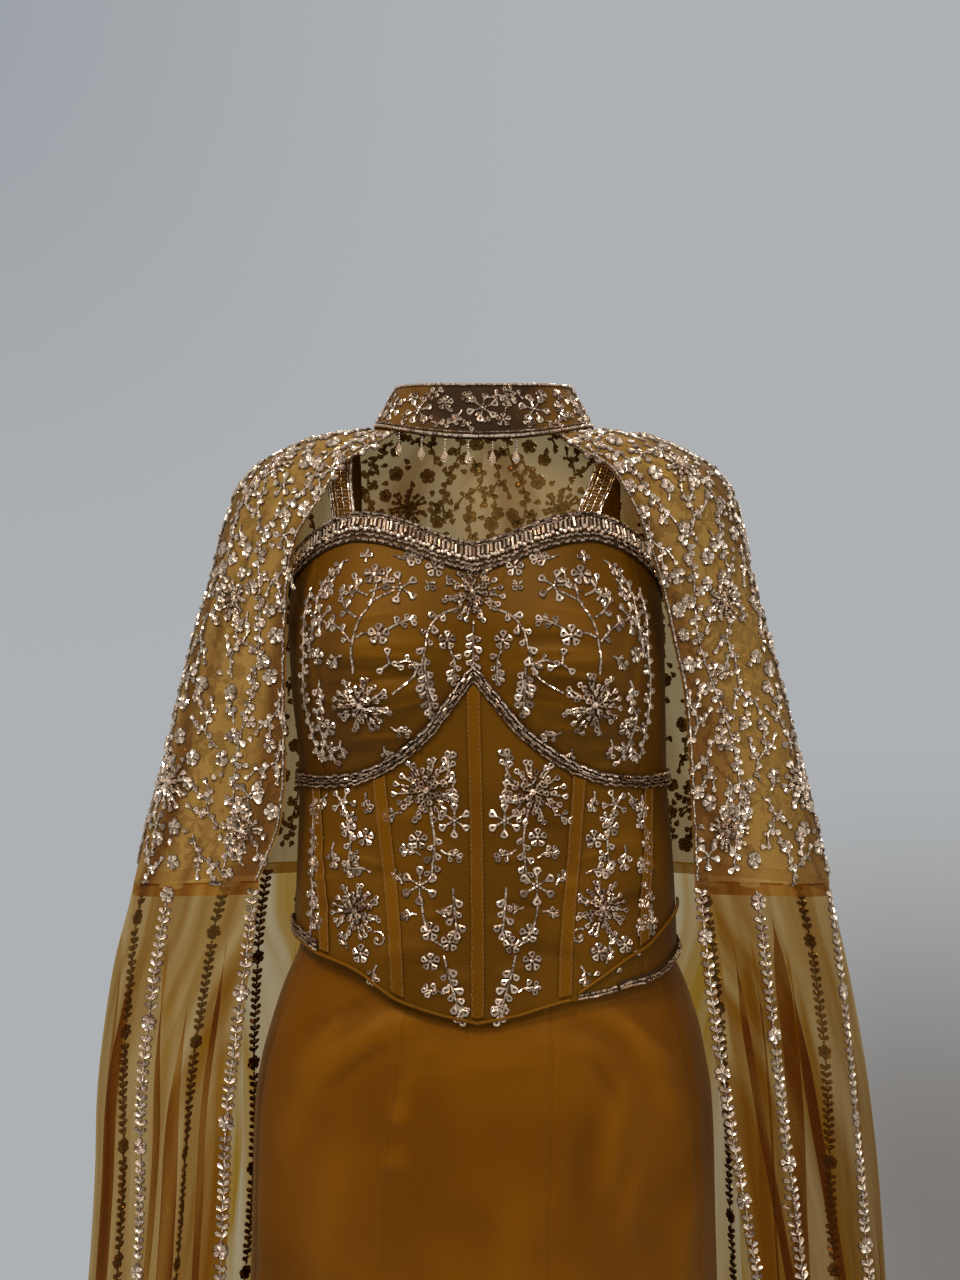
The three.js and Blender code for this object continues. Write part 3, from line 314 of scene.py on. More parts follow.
def bodice_folds(x, y, z):
    front = 1.5 * (creases(CUP_CREASES, x, z) + creases(CORSET_CREASES, x, z))
    return smooth(20, -10, y) * front + smooth(-10, 20, y) * creases(BACK_CREASES, x, z)


def skirt_folds(x, y, z):
    front, back = creases(SKIRT_FRONT_CREASES, x, z), creases(SKIRT_BACK_CREASES, x, z)
    return smooth(-392, -430, z) * (smooth(20, -10, y) * front + smooth(-10, 20, y) * back)


def relief_and_shade(rings, power, folds):
    """Height of the creases at an azimuth and z, in millimetres."""
    def at(azimuth, z):
        half, front, back = rings.each("half front back", z)
        x, y = ring_point(half, front, back, rings.read("power", z) if power is None else power, azimuth)
        return folds(x, y, z)
    return at


def bodice(azimuth, z):
    azimuth, z = paired(azimuth, z)
    half, front, back, middle, lean = BODICE_RINGS.each("half front back middle lean", z)
    x, y = ring_point(half, front, back, BODICE_POWER, azimuth)
    out_x, out_y = ring_normal(half, front, back, BODICE_POWER, x, y)
    swell = cup_swell(azimuth, x, z) + bodice_folds(x, y, z)
    shift = middle + lean * np.abs(x) / half
    return np.stack([x + out_x * swell + shift, y + out_y * swell, z], -1)


def skirt(azimuth, z):
    azimuth, z = paired(azimuth, z)
    half, front, back, power, centre = SKIRT_RINGS.each("half front back power centre", z)
    x, y = ring_point(half, front, back, power, azimuth)
    out_x, out_y = ring_normal(half, front, back, power, x, y)
    turn = np.radians(azimuth)
    flute = 13 * smooth(-800, SKIRT_HEM, z) * np.cos(11 * turn + 0.35 * np.sin(3 * turn))
    flute = flute + 3 * smooth(-620, -1100, z) * np.cos(26 * turn + 1.3 * np.sin(5 * turn) + z / 260)
    flute = flute + skirt_folds(x, y, z)
    free = np.stack([x + out_x * flute + centre, y + out_y * flute, z], -1)
    tucked = smooth(-395, -375, z)[..., None]
    inside = bodice(azimuth, z) - np.stack([out_x, out_y, 0 * z], -1) * 3.4
    inside[..., 2] = z
    return mix(free, inside, tucked)


class Round:
    """Turns a share of the way round the cape, from its left front edge (0) to its right, to an azimuth."""

    def __init__(self, table, keys):
        self.keys = keys
        self.shares = np.linspace(0, 0.5, 60)
        self.left, self.right = (self.half(table, side) for side in ("left", "right"))

    def half(self, table, side):
        rows = []
        for key in self.keys:
            half, front, back, edge = (float(value) for value in table.each("half front back " + side, key))
            first = math.degrees(math.atan2(edge, front * math.sqrt(1 - (edge / half) ** 2)))
            turns = np.linspace(first, 180, 160)
            x, y = ring_point(half, front, back, CAPE_POWER, turns)
            length = run_along(np.stack([x, y], -1))
            rows.append(np.interp(self.shares * 2 * length[-1], length, turns))
        return np.array(rows)

    def azimuth(self, share, key):
        near = np.where(share <= 0.5, share, 1 - share)
        row = np.clip(np.interp(key, self.keys, np.arange(len(self.keys))), 0, len(self.keys) - 1.001)
        column = np.clip(near, 0, 0.5) / 0.5 * (len(self.shares) - 1.001)
        i, j = row.astype(int), column.astype(int)
        s, t = row - i, column - j

        def blend(grid):
            return mix(mix(grid[i, j], grid[i + 1, j], s), mix(grid[i, j + 1], grid[i + 1, j + 1], s), t)

        return np.where(share <= 0.5, blend(self.left), 360 - blend(self.right))


YOKE_ROUND = Round(YOKE_RINGS, np.linspace(0, 11, 67))
DRAPE_ROUND = Round(DRAPE_RINGS, np.linspace(DRAPE_HEM, DRAPE_TOP, 60))
DRAPE_ROUND_CENTRE = 1


def fold_sum(folds, share):
    total = np.zeros(np.shape(share))
    for at, width, depth in folds:
        off = np.abs(share - at) / width
        total = total + np.where(off < 1, depth * np.cos(np.minimum(off, 1) * np.pi / 2) ** 2, 0)
    return total


# Bands on the yoke's net, from its share of the way round, half width and amount: painted shade of its
# folds where the amount is above 0, and a lighter net where it is below.
YOKE_SHADES = [
    (0.01, 0.03, 0.45), (0.072, 0.034, -0.5), (0.128, 0.026, 0.5), (0.16, 0.012, -0.25),
    (0.2, 0.024, 0.4), (0.262, 0.03, -0.3), (0.33, 0.04, 0.4), (0.41, 0.03, -0.3), (0.47, 0.03, 0.35),
    (0.54, 0.03, -0.3), (0.6, 0.03, 0.35), (0.66, 0.03, -0.3), (0.73, 0.04, 0.4), (0.785, 0.02, -0.3),
    (0.82, 0.016, 0.45), (0.856, 0.013, 0.1), (0.884, 0.016, 0.5), (0.918, 0.014, -0.3),
    (0.953, 0.024, -0.5), (0.99, 0.02, 0.4),
]


def yoke_shade(share, down):
    # Painted shade of the yoke's folds, weaker towards the collar
    sway = share + 0.008 * np.sin(down * 4 + share * 23)
    return 1.3 * fold_sum(YOKE_SHADES, sway) * (0.35 + 0.65 * smooth(0.08, 0.4, down))


def yoke(share, down):
    share, down = paired(share, down)
    key = down * 11
    half, front, back, side, fore, aft, centre = YOKE_RINGS.each("half front back side fore aft centre", key)
    x, y = ring_point(half, front, back, CAPE_POWER, YOKE_ROUND.azimuth(share, key))
    out_x, out_y = ring_normal(half, front, back, CAPE_POWER, x, y)
    crease = fold_sum(YOKE_CREASES, share) * smooth(0.25, 0.8, down)
    sway = share + 0.006 * np.sin(down * 5 + share * 31)
    ripple = np.sin(sway * 2 * np.pi * 23 + 2 * np.sin(down * 3)) * np.sin(sway * 2 * np.pi * 3.3 + 1) ** 2
    crease = crease + smooth(0.12, 0.5, down) * 2.2 * ripple
    z = tilted(y, front, back, side, fore, aft)
    return np.stack([x + out_x * crease + centre, y + out_y * crease, z], -1)


def pleat_shift(share, down):
    """How far a pleat moves the cloth round the cape, and outwards."""
    round_by, out_by = np.zeros(np.shape(share)), np.zeros(np.shape(share))
    for k, (at, half, amount) in enumerate(DRAPE_PLEATS):
        off = (share - at) / half
        wave = np.where(np.abs(off) < 1, np.sin(np.pi * np.clip(off, -1, 1)), 0)
        grown = smooth(0.012, 0.1 + 0.05 * (k % 3), down)
        way = 1 if k % 2 else -1
        round_by = round_by - amount * half * wave * grown
        out_by = out_by + 2.6 * wave * grown * way
    return round_by, out_by


def drape(share, down):
    share, down = paired(share, down)
    z = mix(DRAPE_TOP, DRAPE_HEM, down)
    round_by, out_by = pleat_shift(share, down)
    half, front, back, centre = DRAPE_RINGS.each("half front back centre", z)
    x, y = ring_point(half, front, back, CAPE_POWER, DRAPE_ROUND.azimuth(share + round_by, z))
    out_x, out_y = ring_normal(half, front, back, CAPE_POWER, x, y)
    below = np.clip(down, 0, 1)
    drift = share + 0.004 * np.sin(below * 6 + share * 40) * below
    fall = fold_sum([(at, width, depth) for at, width, depth, _ in DRAPE_FOLDS], drift) * below ** 0.85
    start = fold_sum([(at, width, depth * first) for at, width, depth, first in DRAPE_FOLDS], drift)
    fold = mix(fold_sum(YOKE_CREASES, share), fall + start * (1 - below ** 0.85), smooth(0, 0.06, below))
    ripple = np.sin(drift * 2 * np.pi * 41 + 1.6 * np.sin(below * 4 + 9 * share))
    fold = fold + 2.4 * smooth(0.01, 0.3, below) * ripple * np.sin(share * 2 * np.pi * 2.6 + 2) ** 2 + out_by
    front_lift = np.where(y < 0, (y / front) ** 2, 0) * DRAPE_TOP_LIFT * (1 - smooth(0, 0.12, down))
    return np.stack([x + out_x * fold + centre, y + out_y * fold, z + front_lift], -1)


def drape_shade(share, down):
    """The net is thinner at the sides, and darker with painted shade behind, between body and cape."""
    aside = np.abs(share - 0.5)
    sides = smooth(0.24, 0.3, aside) * (1 - smooth(0.36, 0.42, aside))
    return 0.3 * (1 - smooth(0.18, 0.26, aside)) - 0.4 * sides * smooth(0.02, 0.15, down)


def yoke_and_seam(share, down):
    """The yoke, with its seam allowance turned down inside the drape."""
    turned = np.clip(down - 1, 0, None)
    hanging = drape(share, turned)
    inwards = hanging - np.array([DRAPE_ROUND_CENTRE, 0, 0])
    inwards[..., 2] = 0
    hanging = hanging - unit(inwards) * np.minimum(turned * 200, 0.6)[..., None]
    return np.where((down > 1)[..., None], hanging, yoke(share, np.minimum(down, 1)))


def collar(azimuth, up):
    azimuth, up = paired(azimuth, up)
    half, front, back, side, fore, aft = COLLAR_RINGS.each("half front back side fore aft", up)
    x, y = ring_point(half, front, back, COLLAR_POWER, azimuth)
    return np.stack([x + COLLAR_CENTRE, y, tilted(y, front, back, side, fore, aft)], -1)


def unit(v):
    return v / np.maximum(np.linalg.norm(v, axis=-1, keepdims=True), 1e-9)


class Strap:
    """A strap by the distance across it, to the left, and the share of the way from its front end to its
    back."""
    back_turn = 128
    rise = [
        (-62, -50), (-53, -32), (-38, -16.5), (-14, -8.1), (8, -7.1), (30, -12.5), (48, -26), (60, -53),
        (67, -86),
    ]

    def __init__(self, side, low, high):
        turns = np.linspace(0, 90, 2000)
        self.side = side
        along_edge = bodice(side * turns, neckline(turns))
        self.front_turn = float(turns[np.argmin(np.abs(along_edge[:, 0] - side * low))])
        points = [self.at_edge(self.front_turn, 12), self.at_edge(self.front_turn, 2)]
        for k, (y, z) in enumerate(self.rise):
            up = (z + 72) / (self.rise[3][1] + 72) if k < 3 else 1
            points.append(np.array([side * mix(low, high, up), y, z]))
        points += [self.at_edge(self.back_turn, 2), self.at_edge(self.back_turn, 12)]
        self.points = self.curve(np.array(points))
        self.run = run_along(self.points)

    def at_edge(self, turn, below):
        azimuth, z = np.array([self.side * turn]), neckline(turn) - below
        along = bodice(azimuth + 0.4, z) - bodice(azimuth - 0.4, z)
        down = bodice(azimuth, z - 0.4) - bodice(azimuth, z + 0.4)
        return (bodice(azimuth, z) - unit(np.cross(down, along)) * 3.9)[0]

    @staticmethod
    def curve(points):
        ends = np.vstack([2 * points[0] - points[1], points, 2 * points[-1] - points[-2]])
        knots = np.concatenate([[0], np.cumsum(np.linalg.norm(np.diff(ends, axis=0), axis=1) ** 0.5)])
        made = []
        for i in range(1, len(ends) - 2):
            p, k = ends[i - 1:i + 3], knots[i - 1:i + 3]
            t = np.linspace(k[1], k[2], 40, endpoint=False)[:, None]
            a = [((k[j + 1] - t) * p[j] + (t - k[j]) * p[j + 1]) / (k[j + 1] - k[j]) for j in range(3)]
            b = [((k[j + 2] - t) * a[j] + (t - k[j]) * a[j + 1]) / (k[j + 2] - k[j]) for j in range(2)]
            made.append(((k[2] - t) * b[0] + (t - k[1]) * b[1]) / (k[2] - k[1]))
        return np.vstack(made + [points[-1:]])

    def at(self, across, share):
        across, share = paired(across, share)
        run = np.clip(share, 0, 1) * self.run[-1]
        centre = np.stack([np.interp(run, self.run, self.points[:, k]) for k in range(3)], -1)
        turned = np.radians(mix(self.front_turn, 180 - self.back_turn, share)) * 0.55
        slant = self.side * np.where(share < 0.5, 1, -1) * np.sin(turned) * np.abs(1 - 2 * share)
        sideways = unit(np.stack([np.cos(turned), slant, 0 * turned], -1))
        return centre + sideways * across[..., None]


STRAPS = {"left": Strap(1, 83, 107), "right": Strap(-1, 105, 109)}


# a is along the cloth to the wearer's left of the front, b is up or down it. steps are small ones for slopes,
# and rises is 1 where b grows upwards. The relief gives the creases' height, which the satin turns into
# painted shade in their troughs and a painted highlight on their ridges; on the nets it is painted shade,
# and a lighter, thinner net where it is below 0.
SURFACES = {
    "bodice": dict(at=bodice, steps=(0.3, 0.6), rises=1,
                   relief_and_shade=relief_and_shade(BODICE_RINGS, BODICE_POWER, bodice_folds)),
    "skirt": dict(at=skirt, steps=(0.3, 0.6), rises=1, relief_and_shade=relief_and_shade(SKIRT_RINGS, None, skirt_folds)),
    "collar": dict(at=collar, steps=(0.3, 0.01), rises=1),
    "yoke": dict(at=yoke, steps=(0.0012, 0.0015), rises=-1, relief_and_shade=yoke_shade),
    "drape": dict(at=drape, steps=(0.0012, 0.0015), rises=-1, relief_and_shade=drape_shade),
}


def slopes(surface, a, b):
    """Change of place for a step of a and of b, and the outward normal."""
    at, (step_a, step_b) = surface["at"], surface["steps"]
    along = (at(a + step_a, b) - at(a - step_a, b)) / (2 * step_a)
    up = (at(a, b + step_b) - at(a, b - step_b)) / (2 * step_b)
    return along, up, unit(np.cross(along, up) * surface["rises"])


# Meshes

def make_object(name, points, faces, material, smooth_shading=True, uv=None, **measures):
    """A mesh from corners in millimetres and arrays of faces, one array for each number of corners. Measures
    are numbers at the corners, for the materials."""
    mesh = bpy.data.meshes.new(name)
    groups = [np.asarray(group) for group in (faces if isinstance(faces, list) else [faces])]
    corners = np.concatenate([group.ravel() for group in groups]).astype(np.int32)
    sizes = np.concatenate([np.full(len(group), group.shape[1]) for group in groups])
    mesh.vertices.add(len(points))
    mesh.vertices.foreach_set("co", (points * MM).astype(np.float32).ravel())
    mesh.loops.add(len(corners))
    mesh.loops.foreach_set("vertex_index", corners)
    mesh.polygons.add(len(sizes))
    starts = np.concatenate([[0], np.cumsum(sizes)[:-1]])
    mesh.polygons.foreach_set("loop_start", starts.astype(np.int32))
    mesh.update(calc_edges=True)
    if uv is not None:
        layer = mesh.uv_layers.new(name="cloth")
        layer.data.foreach_set("uv", (uv[corners] * MM).astype(np.float32).ravel())
    for measure, values in measures.items():
        mesh.attributes.new(measure, "FLOAT", "POINT").data.foreach_set("value", values.astype(np.float32))
    mesh.polygons.foreach_set("use_smooth", [smooth_shading] * len(mesh.polygons))
    mesh.materials.append(material)
    obj = bpy.data.objects.new(name, mesh)
    bpy.context.scene.collection.objects.link(obj)
    return obj


def settle(obj, slot, *nodes):
    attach(obj, "root")
    if nodes:
        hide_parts(*nodes)
    return obj


def ring_quads(rings, sides):
    """Faces between closed rings of corners."""
    r, k = np.meshgrid(np.arange(rings - 1), np.arange(sides), indexing="ij")
    here, after = r * sides + k, r * sides + (k + 1) % sides
    return np.stack([here, after, after + sides, here + sides], -1).reshape(-1, 4)


def grid_faces(across, down):
    i, j = np.meshgrid(np.arange(across), np.arange(down))
    first = (j * (across + 1) + i).ravel()
    return np.stack([first, first + across + 1, first + across + 2, first + 1], -1)


def area_of(p):
    """Area in square metres of a grid of points in millimetres."""
    one = np.linalg.norm(np.cross(p[1:, :-1] - p[:-1, :-1], p[1:, 1:] - p[:-1, :-1]), axis=-1)
    two = np.linalg.norm(np.cross(p[1:, 1:] - p[:-1, :-1], p[:-1, 1:] - p[:-1, :-1]), axis=-1)
    return float((one.sum() + two.sum()) / 2) * MM * MM


def fold_turn(p, window):
    """How far the cloth turns away from its own mean direction over a window of columns."""
    normal = unit(np.cross(np.gradient(p, axis=1), np.gradient(p, axis=0)))
    padded = np.concatenate([normal[:, :1].repeat(window, 1), normal, normal[:, -1:].repeat(window, 1)], 1)
    run = np.cumsum(padded, axis=1)
    mean = unit(run[:, 2 * window:] - run[:, :-2 * window])
    return 1 - np.abs((normal * mean).sum(-1))


def seam_columns(across):
    """Shares across a panel, closer together at its seams."""
    near = np.array([0, 0.005, 0.011, 0.02])
    return np.concatenate([near, np.linspace(0.035, 0.965, across - 7), 1 - near[::-1]])


def cloth(name, surface, place, across, down, material, slot, nodes, held, lift=0.0, thick=0.0, sewn=0.0,
          window=0):
    """A sheet of cloth over s and t from 0 to 1, where place gives a and b. Sewn panels dip a little
    at their two seams."""
    columns = seam_columns(across) if sewn else np.linspace(0, 1, across + 1)
    s, t = np.meshgrid(columns, np.linspace(0, 1, down + 1))
    a, b = place(s.ravel(), t.ravel())
    points = surface["at"](a, b)
    if sewn:
        off = np.minimum(s, 1 - s).ravel() * np.linalg.norm(points[across] - points[0])
        lift = lift - sewn * np.exp(-((off / 1.6) ** 2))
    if np.any(lift):
        points = points + slopes(surface, a, b)[2] * np.broadcast_to(lift, a.shape)[:, None]
    p = points.reshape(down + 1, across + 1, 3)
    steps_u = np.linalg.norm(np.diff(p, axis=1), axis=-1)
    steps_v = np.linalg.norm(np.diff(p, axis=0), axis=-1)
    wide, long = steps_u.sum(1), steps_v.sum(0)
    u = np.concatenate([np.zeros((down + 1, 1)), np.cumsum(steps_u, 1)], 1)
    v = np.concatenate([np.zeros((1, across + 1)), np.cumsum(steps_v, 0)], 0)
    uv = np.stack([(u - wide[:, None] / 2).ravel(), v.ravel()], -1)
    measures = {"turn": fold_turn(p, window).ravel()} if window else {}
    if "relief_and_shade" in surface:
        measures["relief_and_shade"] = surface["relief_and_shade"](a, b)
    obj = make_object(name, points, grid_faces(across, down), material, uv=uv, **measures)
    if thick:
        shell = obj.modifiers.new("thickness", "SOLIDIFY")
        shell.thickness, shell.offset = thick * MM, -1
    settle(obj, slot, *nodes)
    area_of(p)


def tube_place(start, end, top, bottom, pace=lambda t: t):
    """Place on a tube between two seams, each given by z, and two edges, each given by azimuth."""
    def place(s, t):
        z = np.full_like(s, -300.0)
        for _ in range(8):
            azimuth = mix(start(z), end(z), s)
            z = mix(top(azimuth), bottom(azimuth), pace(t))
        return azimuth, z
    return place


def level(value):
    return lambda x: np.full_like(np.asarray(x, float), value)


def moved(line, by):
    return lambda x: line(x) + by


# Bead shapes, one long, one wide and one high: corners, faces and, for each corner, 1 on the bead and 0 on
# its dark foot and in a loop's dark eye, both painted shade. The root of a loop is at -0.5 on x.

def ringed(rings, sides, point, top=None, eye=1.0):
    """Faces over rings of corners; point gives the corner of a ring by its number and size."""
    corners = [(*point(k, size), z) for size, z, _ in rings for k in range(sides)]
    bead_not_painted_shade = [on for _, _, on in rings for _ in range(sides)]
    faces = [ring_quads(len(rings), sides)]
    if top is not None:
        last = (len(rings) - 1) * sides
        corners.append((0, 0, top))
        bead_not_painted_shade.append(eye)
        faces.append(np.array([(last + k, last + (k + 1) % sides, len(corners) - 1) for k in range(sides)]))
    return np.array(corners, float), faces, np.array(bead_not_painted_shade, float)


def loop_shape():
    turns = np.radians([-128, -82, -35, 0, 35, 82, 128])
    crest = np.array([(-0.5, 0.0)] + [(0.2 + 0.3 * math.cos(t), 0.5 * math.sin(t)) for t in turns])
    middle = np.array([0.16, 0.0])
    # The outer ring is the dark foot and the inner one the dark eye: painted shade round and in the loop
    rings = [(1.18, 0.0, 0), (0.96, 0.65, 1), (0.5, 1.0, 1), (0.1, 0.5, 0)]
    return ringed(rings, len(crest), lambda k, size: middle + (crest[k] - middle) * size)


def dome_shape(sides, rings):
    def point(k, size):
        turn = 2 * math.pi * k / sides
        return size * math.cos(turn), size * math.sin(turn)
    return ringed(rings, sides, point, top=1)


def rod_shape(section):
    """A rod with the section all along it, open below."""
    n = len(section)
    corners = [(x, y, z) for x in (-0.5, 0.5) for y, z, _ in section]
    sides = [(k, k + n, k + n + 1, k + 1) for k in range(n - 1)]
    ends = [tuple(range(n)), tuple(range(2 * n - 1, n - 1, -1))]
    bead_not_painted_shade = [on for _, _, on in section] * 2
    return np.array(corners), [np.array(sides), np.array(ends)], np.array(bead_not_painted_shade, float)


def leaf_shape():
    turns = np.radians([-115, -58, 0, 58, 115])
    crest = np.array([(-0.66, 0.0)] + [(0.06 + 0.3 * math.cos(t), 0.5 * math.sin(t)) for t in turns])
    rings = [(1.2, 0.0, 0), (0.88, 0.95, 1)]
    return ringed(rings, len(crest), lambda k, size: crest[k] * size, top=0.3, eye=0.75)


SHAPES = {
    "loop": loop_shape(),
    "stone": dome_shape(7, [(0.6, 0, 0), (0.5, 0.5, 1), (0.28, 0.92, 1)]),
    "pearl": dome_shape(8, [(0.6, 0, 0), (0.5, 0.45, 1), (0.34, 0.86, 1)]),
    "seed": dome_shape(5, [(0.62, 0, 0), (0.44, 0.6, 1)]),
    "bugle": rod_shape([(-0.66, 0.0, 0), (-0.42, 0.62, 1), (0, 1.0, 1), (0.42, 0.62, 1), (0.66, 0.0, 0)]),
    "leaf": leaf_shape(),
    "chip": rod_shape([(-0.62, 0.0, 0), (-0.28, 0.95, 1), (0.32, 0.9, 1), (0.62, 0.0, 0)]),
    "bud": dome_shape(6, [(0.6, 0, 0), (0.44, 0.7, 1)]),
}
PLAINER = {"loop": "leaf", "bugle": "chip", "pearl": "bud"}


class Beadwork:
    """Beads on cloth, gathered by shape and made into one mesh; small ones may have a plainer shape."""

    def __init__(self, seed, plain=False):
        self.random = np.random.default_rng(seed)
        self.plain = plain
        self.beads = {shape: [] for shape in SHAPES}
        self.waiting = {}

    def lay(self, surface, a, b, along, shape, length, width, height, lift=0.15, tone=0.5):
        """Lays beads at a and b, with their long side along a step given in a and b."""
        given = (np.atleast_1d(x).astype(float) for x in (a, b, *along))
        a, b, along_a, along_b = np.broadcast_arrays(*given)
        slope_a, slope_b, normal = slopes(surface, a, b)
        heading = unit(slope_a * along_a[:, None] + slope_b * along_b[:, None])
        normal = unit(normal + self.random.normal(0, 0.2 if self.plain else 0.14, normal.shape))
        heading = unit(heading - normal * (heading * normal).sum(-1, keepdims=True))
        self.keep(surface["at"](a, b), heading, normal, shape, length, width, height, lift, tone)

    def keep(self, place, heading, normal, shape, length, width, height, lift=0.15, tone=0.5):
        shape = PLAINER.get(shape, shape) if self.plain else shape
        sizes = [np.broadcast_to(x, len(place)) for x in (length, width, height, lift, tone)]
        self.beads[shape].append((place, heading, normal, *sizes))

    def lay_motif(self, surface, a, b, motif, turn=0.0, flip=1, scale=1.0, lift=0.15):
        """Keeps a motif to be laid: a list of beads in millimetres about its own middle, u to the left and v
        up."""
        motifs = self.waiting.setdefault(id(surface), (surface, []))[1]
        motifs.append((a, b, motif, turn, flip, scale, lift))

    def lay_waiting(self):
        for surface, motifs in self.waiting.values():
            a, b, turn, flip, scale, lift = (np.array(x) for x in zip(*(m[:2] + m[3:] for m in motifs)))
            slope_a, slope_b, normal = slopes(surface, a.astype(float), b.astype(float))
            side = np.cross([0.0, 0.0, 1.0], normal)
            side = unit(np.where(np.abs(normal[:, 2:]) < 0.95, side, slope_a))
            up = np.cross(normal, side)
            basis = np.stack([slope_a, slope_b], 1)
            wanted = np.stack([side, up], 1)
            steps = np.linalg.solve(basis @ basis.transpose(0, 2, 1), basis @ wanted.transpose(0, 2, 1))
            own = np.repeat(np.arange(len(motifs)), [len(m[2]) for m in motifs])
            names = np.array([bead[0] for m in motifs for bead in m[2]])
            rows = np.array([bead[1:] for m in motifs for bead in m[2]], float)
            turn, flip, scale, lift, steps = turn[own], flip[own], scale[own], lift[own], steps[own]
            u, v, angle = rows[:, 0] * flip * scale, rows[:, 1] * scale, np.radians(rows[:, 2])
            dx, dy = np.cos(angle) * flip, np.sin(angle)
            c, s = np.cos(turn), np.sin(turn)
            u, v, dx, dy = u * c - v * s, u * s + v * c, dx * c - dy * s, dx * s + dy * c
            place_a = a[own] + u * steps[:, 0, 0] + v * steps[:, 0, 1]
            place_b = b[own] + u * steps[:, 1, 0] + v * steps[:, 1, 1]
            along_a = dx * steps[:, 0, 0] + dy * steps[:, 0, 1]
            along_b = dx * steps[:, 1, 0] + dy * steps[:, 1, 1]
            tone = np.clip(0.55 + self.random.normal(0, 0.24, len(rows)), 0, 1)
            for shape in sorted(set(names.tolist())):
                k = names == shape
                self.lay(surface, place_a[k], place_b[k], (along_a[k], along_b[k]), shape,
                         rows[k, 3] * scale[k], rows[k, 4] * scale[k], rows[k, 5], lift[k], tone[k])
        self.waiting = {}

    def make(self, name, material, slot="beadwork", faceted=True):
        self.lay_waiting()
        points, tones, start = [], [], 0
        faces = {}
        for shape, groups in self.beads.items():
            if not groups:
                continue
            corners, shape_faces, bead_not_painted_shade = SHAPES[shape]
            laid = [np.concatenate(x) for x in zip(*groups)]
            place, heading, normal, length, width, height, lift, tone = laid
            side = unit(np.cross(normal, heading))
            made = (place[:, None] + heading[:, None] * (corners[:, 0] * length[:, None])[..., None]
                    + side[:, None] * (corners[:, 1] * width[:, None])[..., None]
                    + normal[:, None] * (corners[:, 2] * height[:, None] + lift[:, None])[..., None])
            points.append(made.reshape(-1, 3))
            # A tone of -1 marks the foot and a loop's eye, painted shade
            tones.append((tone[:, None] * bead_not_painted_shade - (1 - bead_not_painted_shade)).ravel())
            first = start + np.arange(len(place))[:, None, None] * len(corners)
            for group in shape_faces:
                faces.setdefault(group.shape[1], []).append((first + group).reshape(-1, group.shape[1]))
            start += len(place) * len(corners)
        obj = make_object(name, np.vstack(points), [np.vstack(group) for group in faces.values()], material,
                          smooth_shading=not faceted, tone=np.concatenate(tones))
        return settle(obj, slot)


# Motifs. Each is a list of beads: shape, u, v, angle in degrees, length, width, height.

def along_path(path, spacing, samples=24):
    """Points every so far along a smooth curve through the path, and its angle there."""
    path = np.array(path, float)
    ends = np.vstack([2 * path[0] - path[1], path, 2 * path[-1] - path[-2]])
    curve = []
    for p0, p1, p2, p3 in zip(ends, ends[1:], ends[2:], ends[3:]):
        for t in np.linspace(0, 1, samples, endpoint=False):
            curve.append(0.5 * (2 * p1 + (p2 - p0) * t + (2 * p0 - 5 * p1 + 4 * p2 - p3) * t * t
                                + (3 * p1 - p0 - 3 * p2 + p3) * t ** 3))
    curve = np.array(curve + [path[-1]])
    length = run_along(curve)
    count = max(int(round(length[-1] / spacing)), 1)
    at = (np.arange(count) + 0.5) * length[-1] / count
    u, v = np.interp(at, length, curve[:, 0]), np.interp(at, length, curve[:, 1])
    du = np.interp(at + 0.3, length, curve[:, 0]) - np.interp(at - 0.3, length, curve[:, 0])
    dv = np.interp(at + 0.3, length, curve[:, 1]) - np.interp(at - 0.3, length, curve[:, 1])
    return list(zip(u, v, np.degrees(np.arctan2(dv, du))))


def stem(path, spacing=3.0):
    return [("bugle", u, v, angle, spacing - 0.3, 1.8, 1.6) for u, v, angle in along_path(path, spacing)]


def loop(u, v, angle, length=6.2, width=4.8, height=1.8):
    """A curled loop with its root at u and v."""
    c, s = bearing(angle)
    length, width = length * 1.1, width * 1.1
    return [("loop", u + c * length / 2, v + s * length / 2, angle, length, width, height)]


def trefoil(u, v, angle, size=6.0):
    c, s = bearing(angle)
    tip = (u + c * size * 0.75, v + s * size * 0.75)
    beads = stem([(u, v), tip])
    for spread, longer in ((-75, 0.85), (0, 1.0), (75, 0.85)):
        beads += loop(*tip, angle + spread, size * longer, size * 0.72 * longer)
    return beads


def flower(u, v, size=8.5, petals=5, turn=18):
    beads = [("pearl", u, v, 0, size * 0.36, size * 0.36, 2.3)]
    for k in range(petals):
        angle = turn + 360 * k / petals
        c, s = bearing(angle)
        beads += loop(u + c * size * 0.13, v + s * size * 0.13, angle, size * 0.58, size * 2.7 / petals, 2.1)
    return beads


def star(u, v, size=13.0, arms=5, turn=90):
    beads = [("pearl", u, v, 0, 2.8, 2.8, 1.8)]
    for k in range(arms):
        angle = turn + 360 * k / arms
        c, s = bearing(angle)
        beads += stem([(u + c * 1.6, v + s * 1.6), (u + c * size * 0.48, v + s * size * 0.48)], 2.4)
        beads += loop(u + c * size * 0.42, v + s * size * 0.42, angle, size * 0.5, size * 0.42)
    return beads


def burst(u, v, size=23.0, arms=19, turn=4):
    beads = [("stone", u, v, 0, 5.5, 5.5, 4.4)]
    rings = ((0.08, 0.27, 7, 0.21, 3.8), (0.26, 0.26, 11, 0.19, 3.2), (0.5, 0.24, 15, 0.17, 2.4),
             (0.8, 0.26, arms, 0.2, 1.9))
    for ring, (start, length, count, width, height) in enumerate(rings):
        for k in range(count):
            swing = 6 * math.sin(3.7 * k + 2 * ring)
            angle = turn + swing + 360 * (k + 0.5 * (ring % 2)) / count
            c, s = bearing(angle)
            reach = 1 + 0.11 * math.sin(2.4 * k + ring)
            beads += loop(u + c * size * start * reach, v + s * size * start * reach, angle + swing,
                          size * length, size * width, height)
            if ring == 3:
                inner, outer = size * 0.56, size * 0.82 * reach
                beads += stem([(u + c * inner, v + s * inner), (u + c * outer, v + s * outer)], 2.8)
    return beads


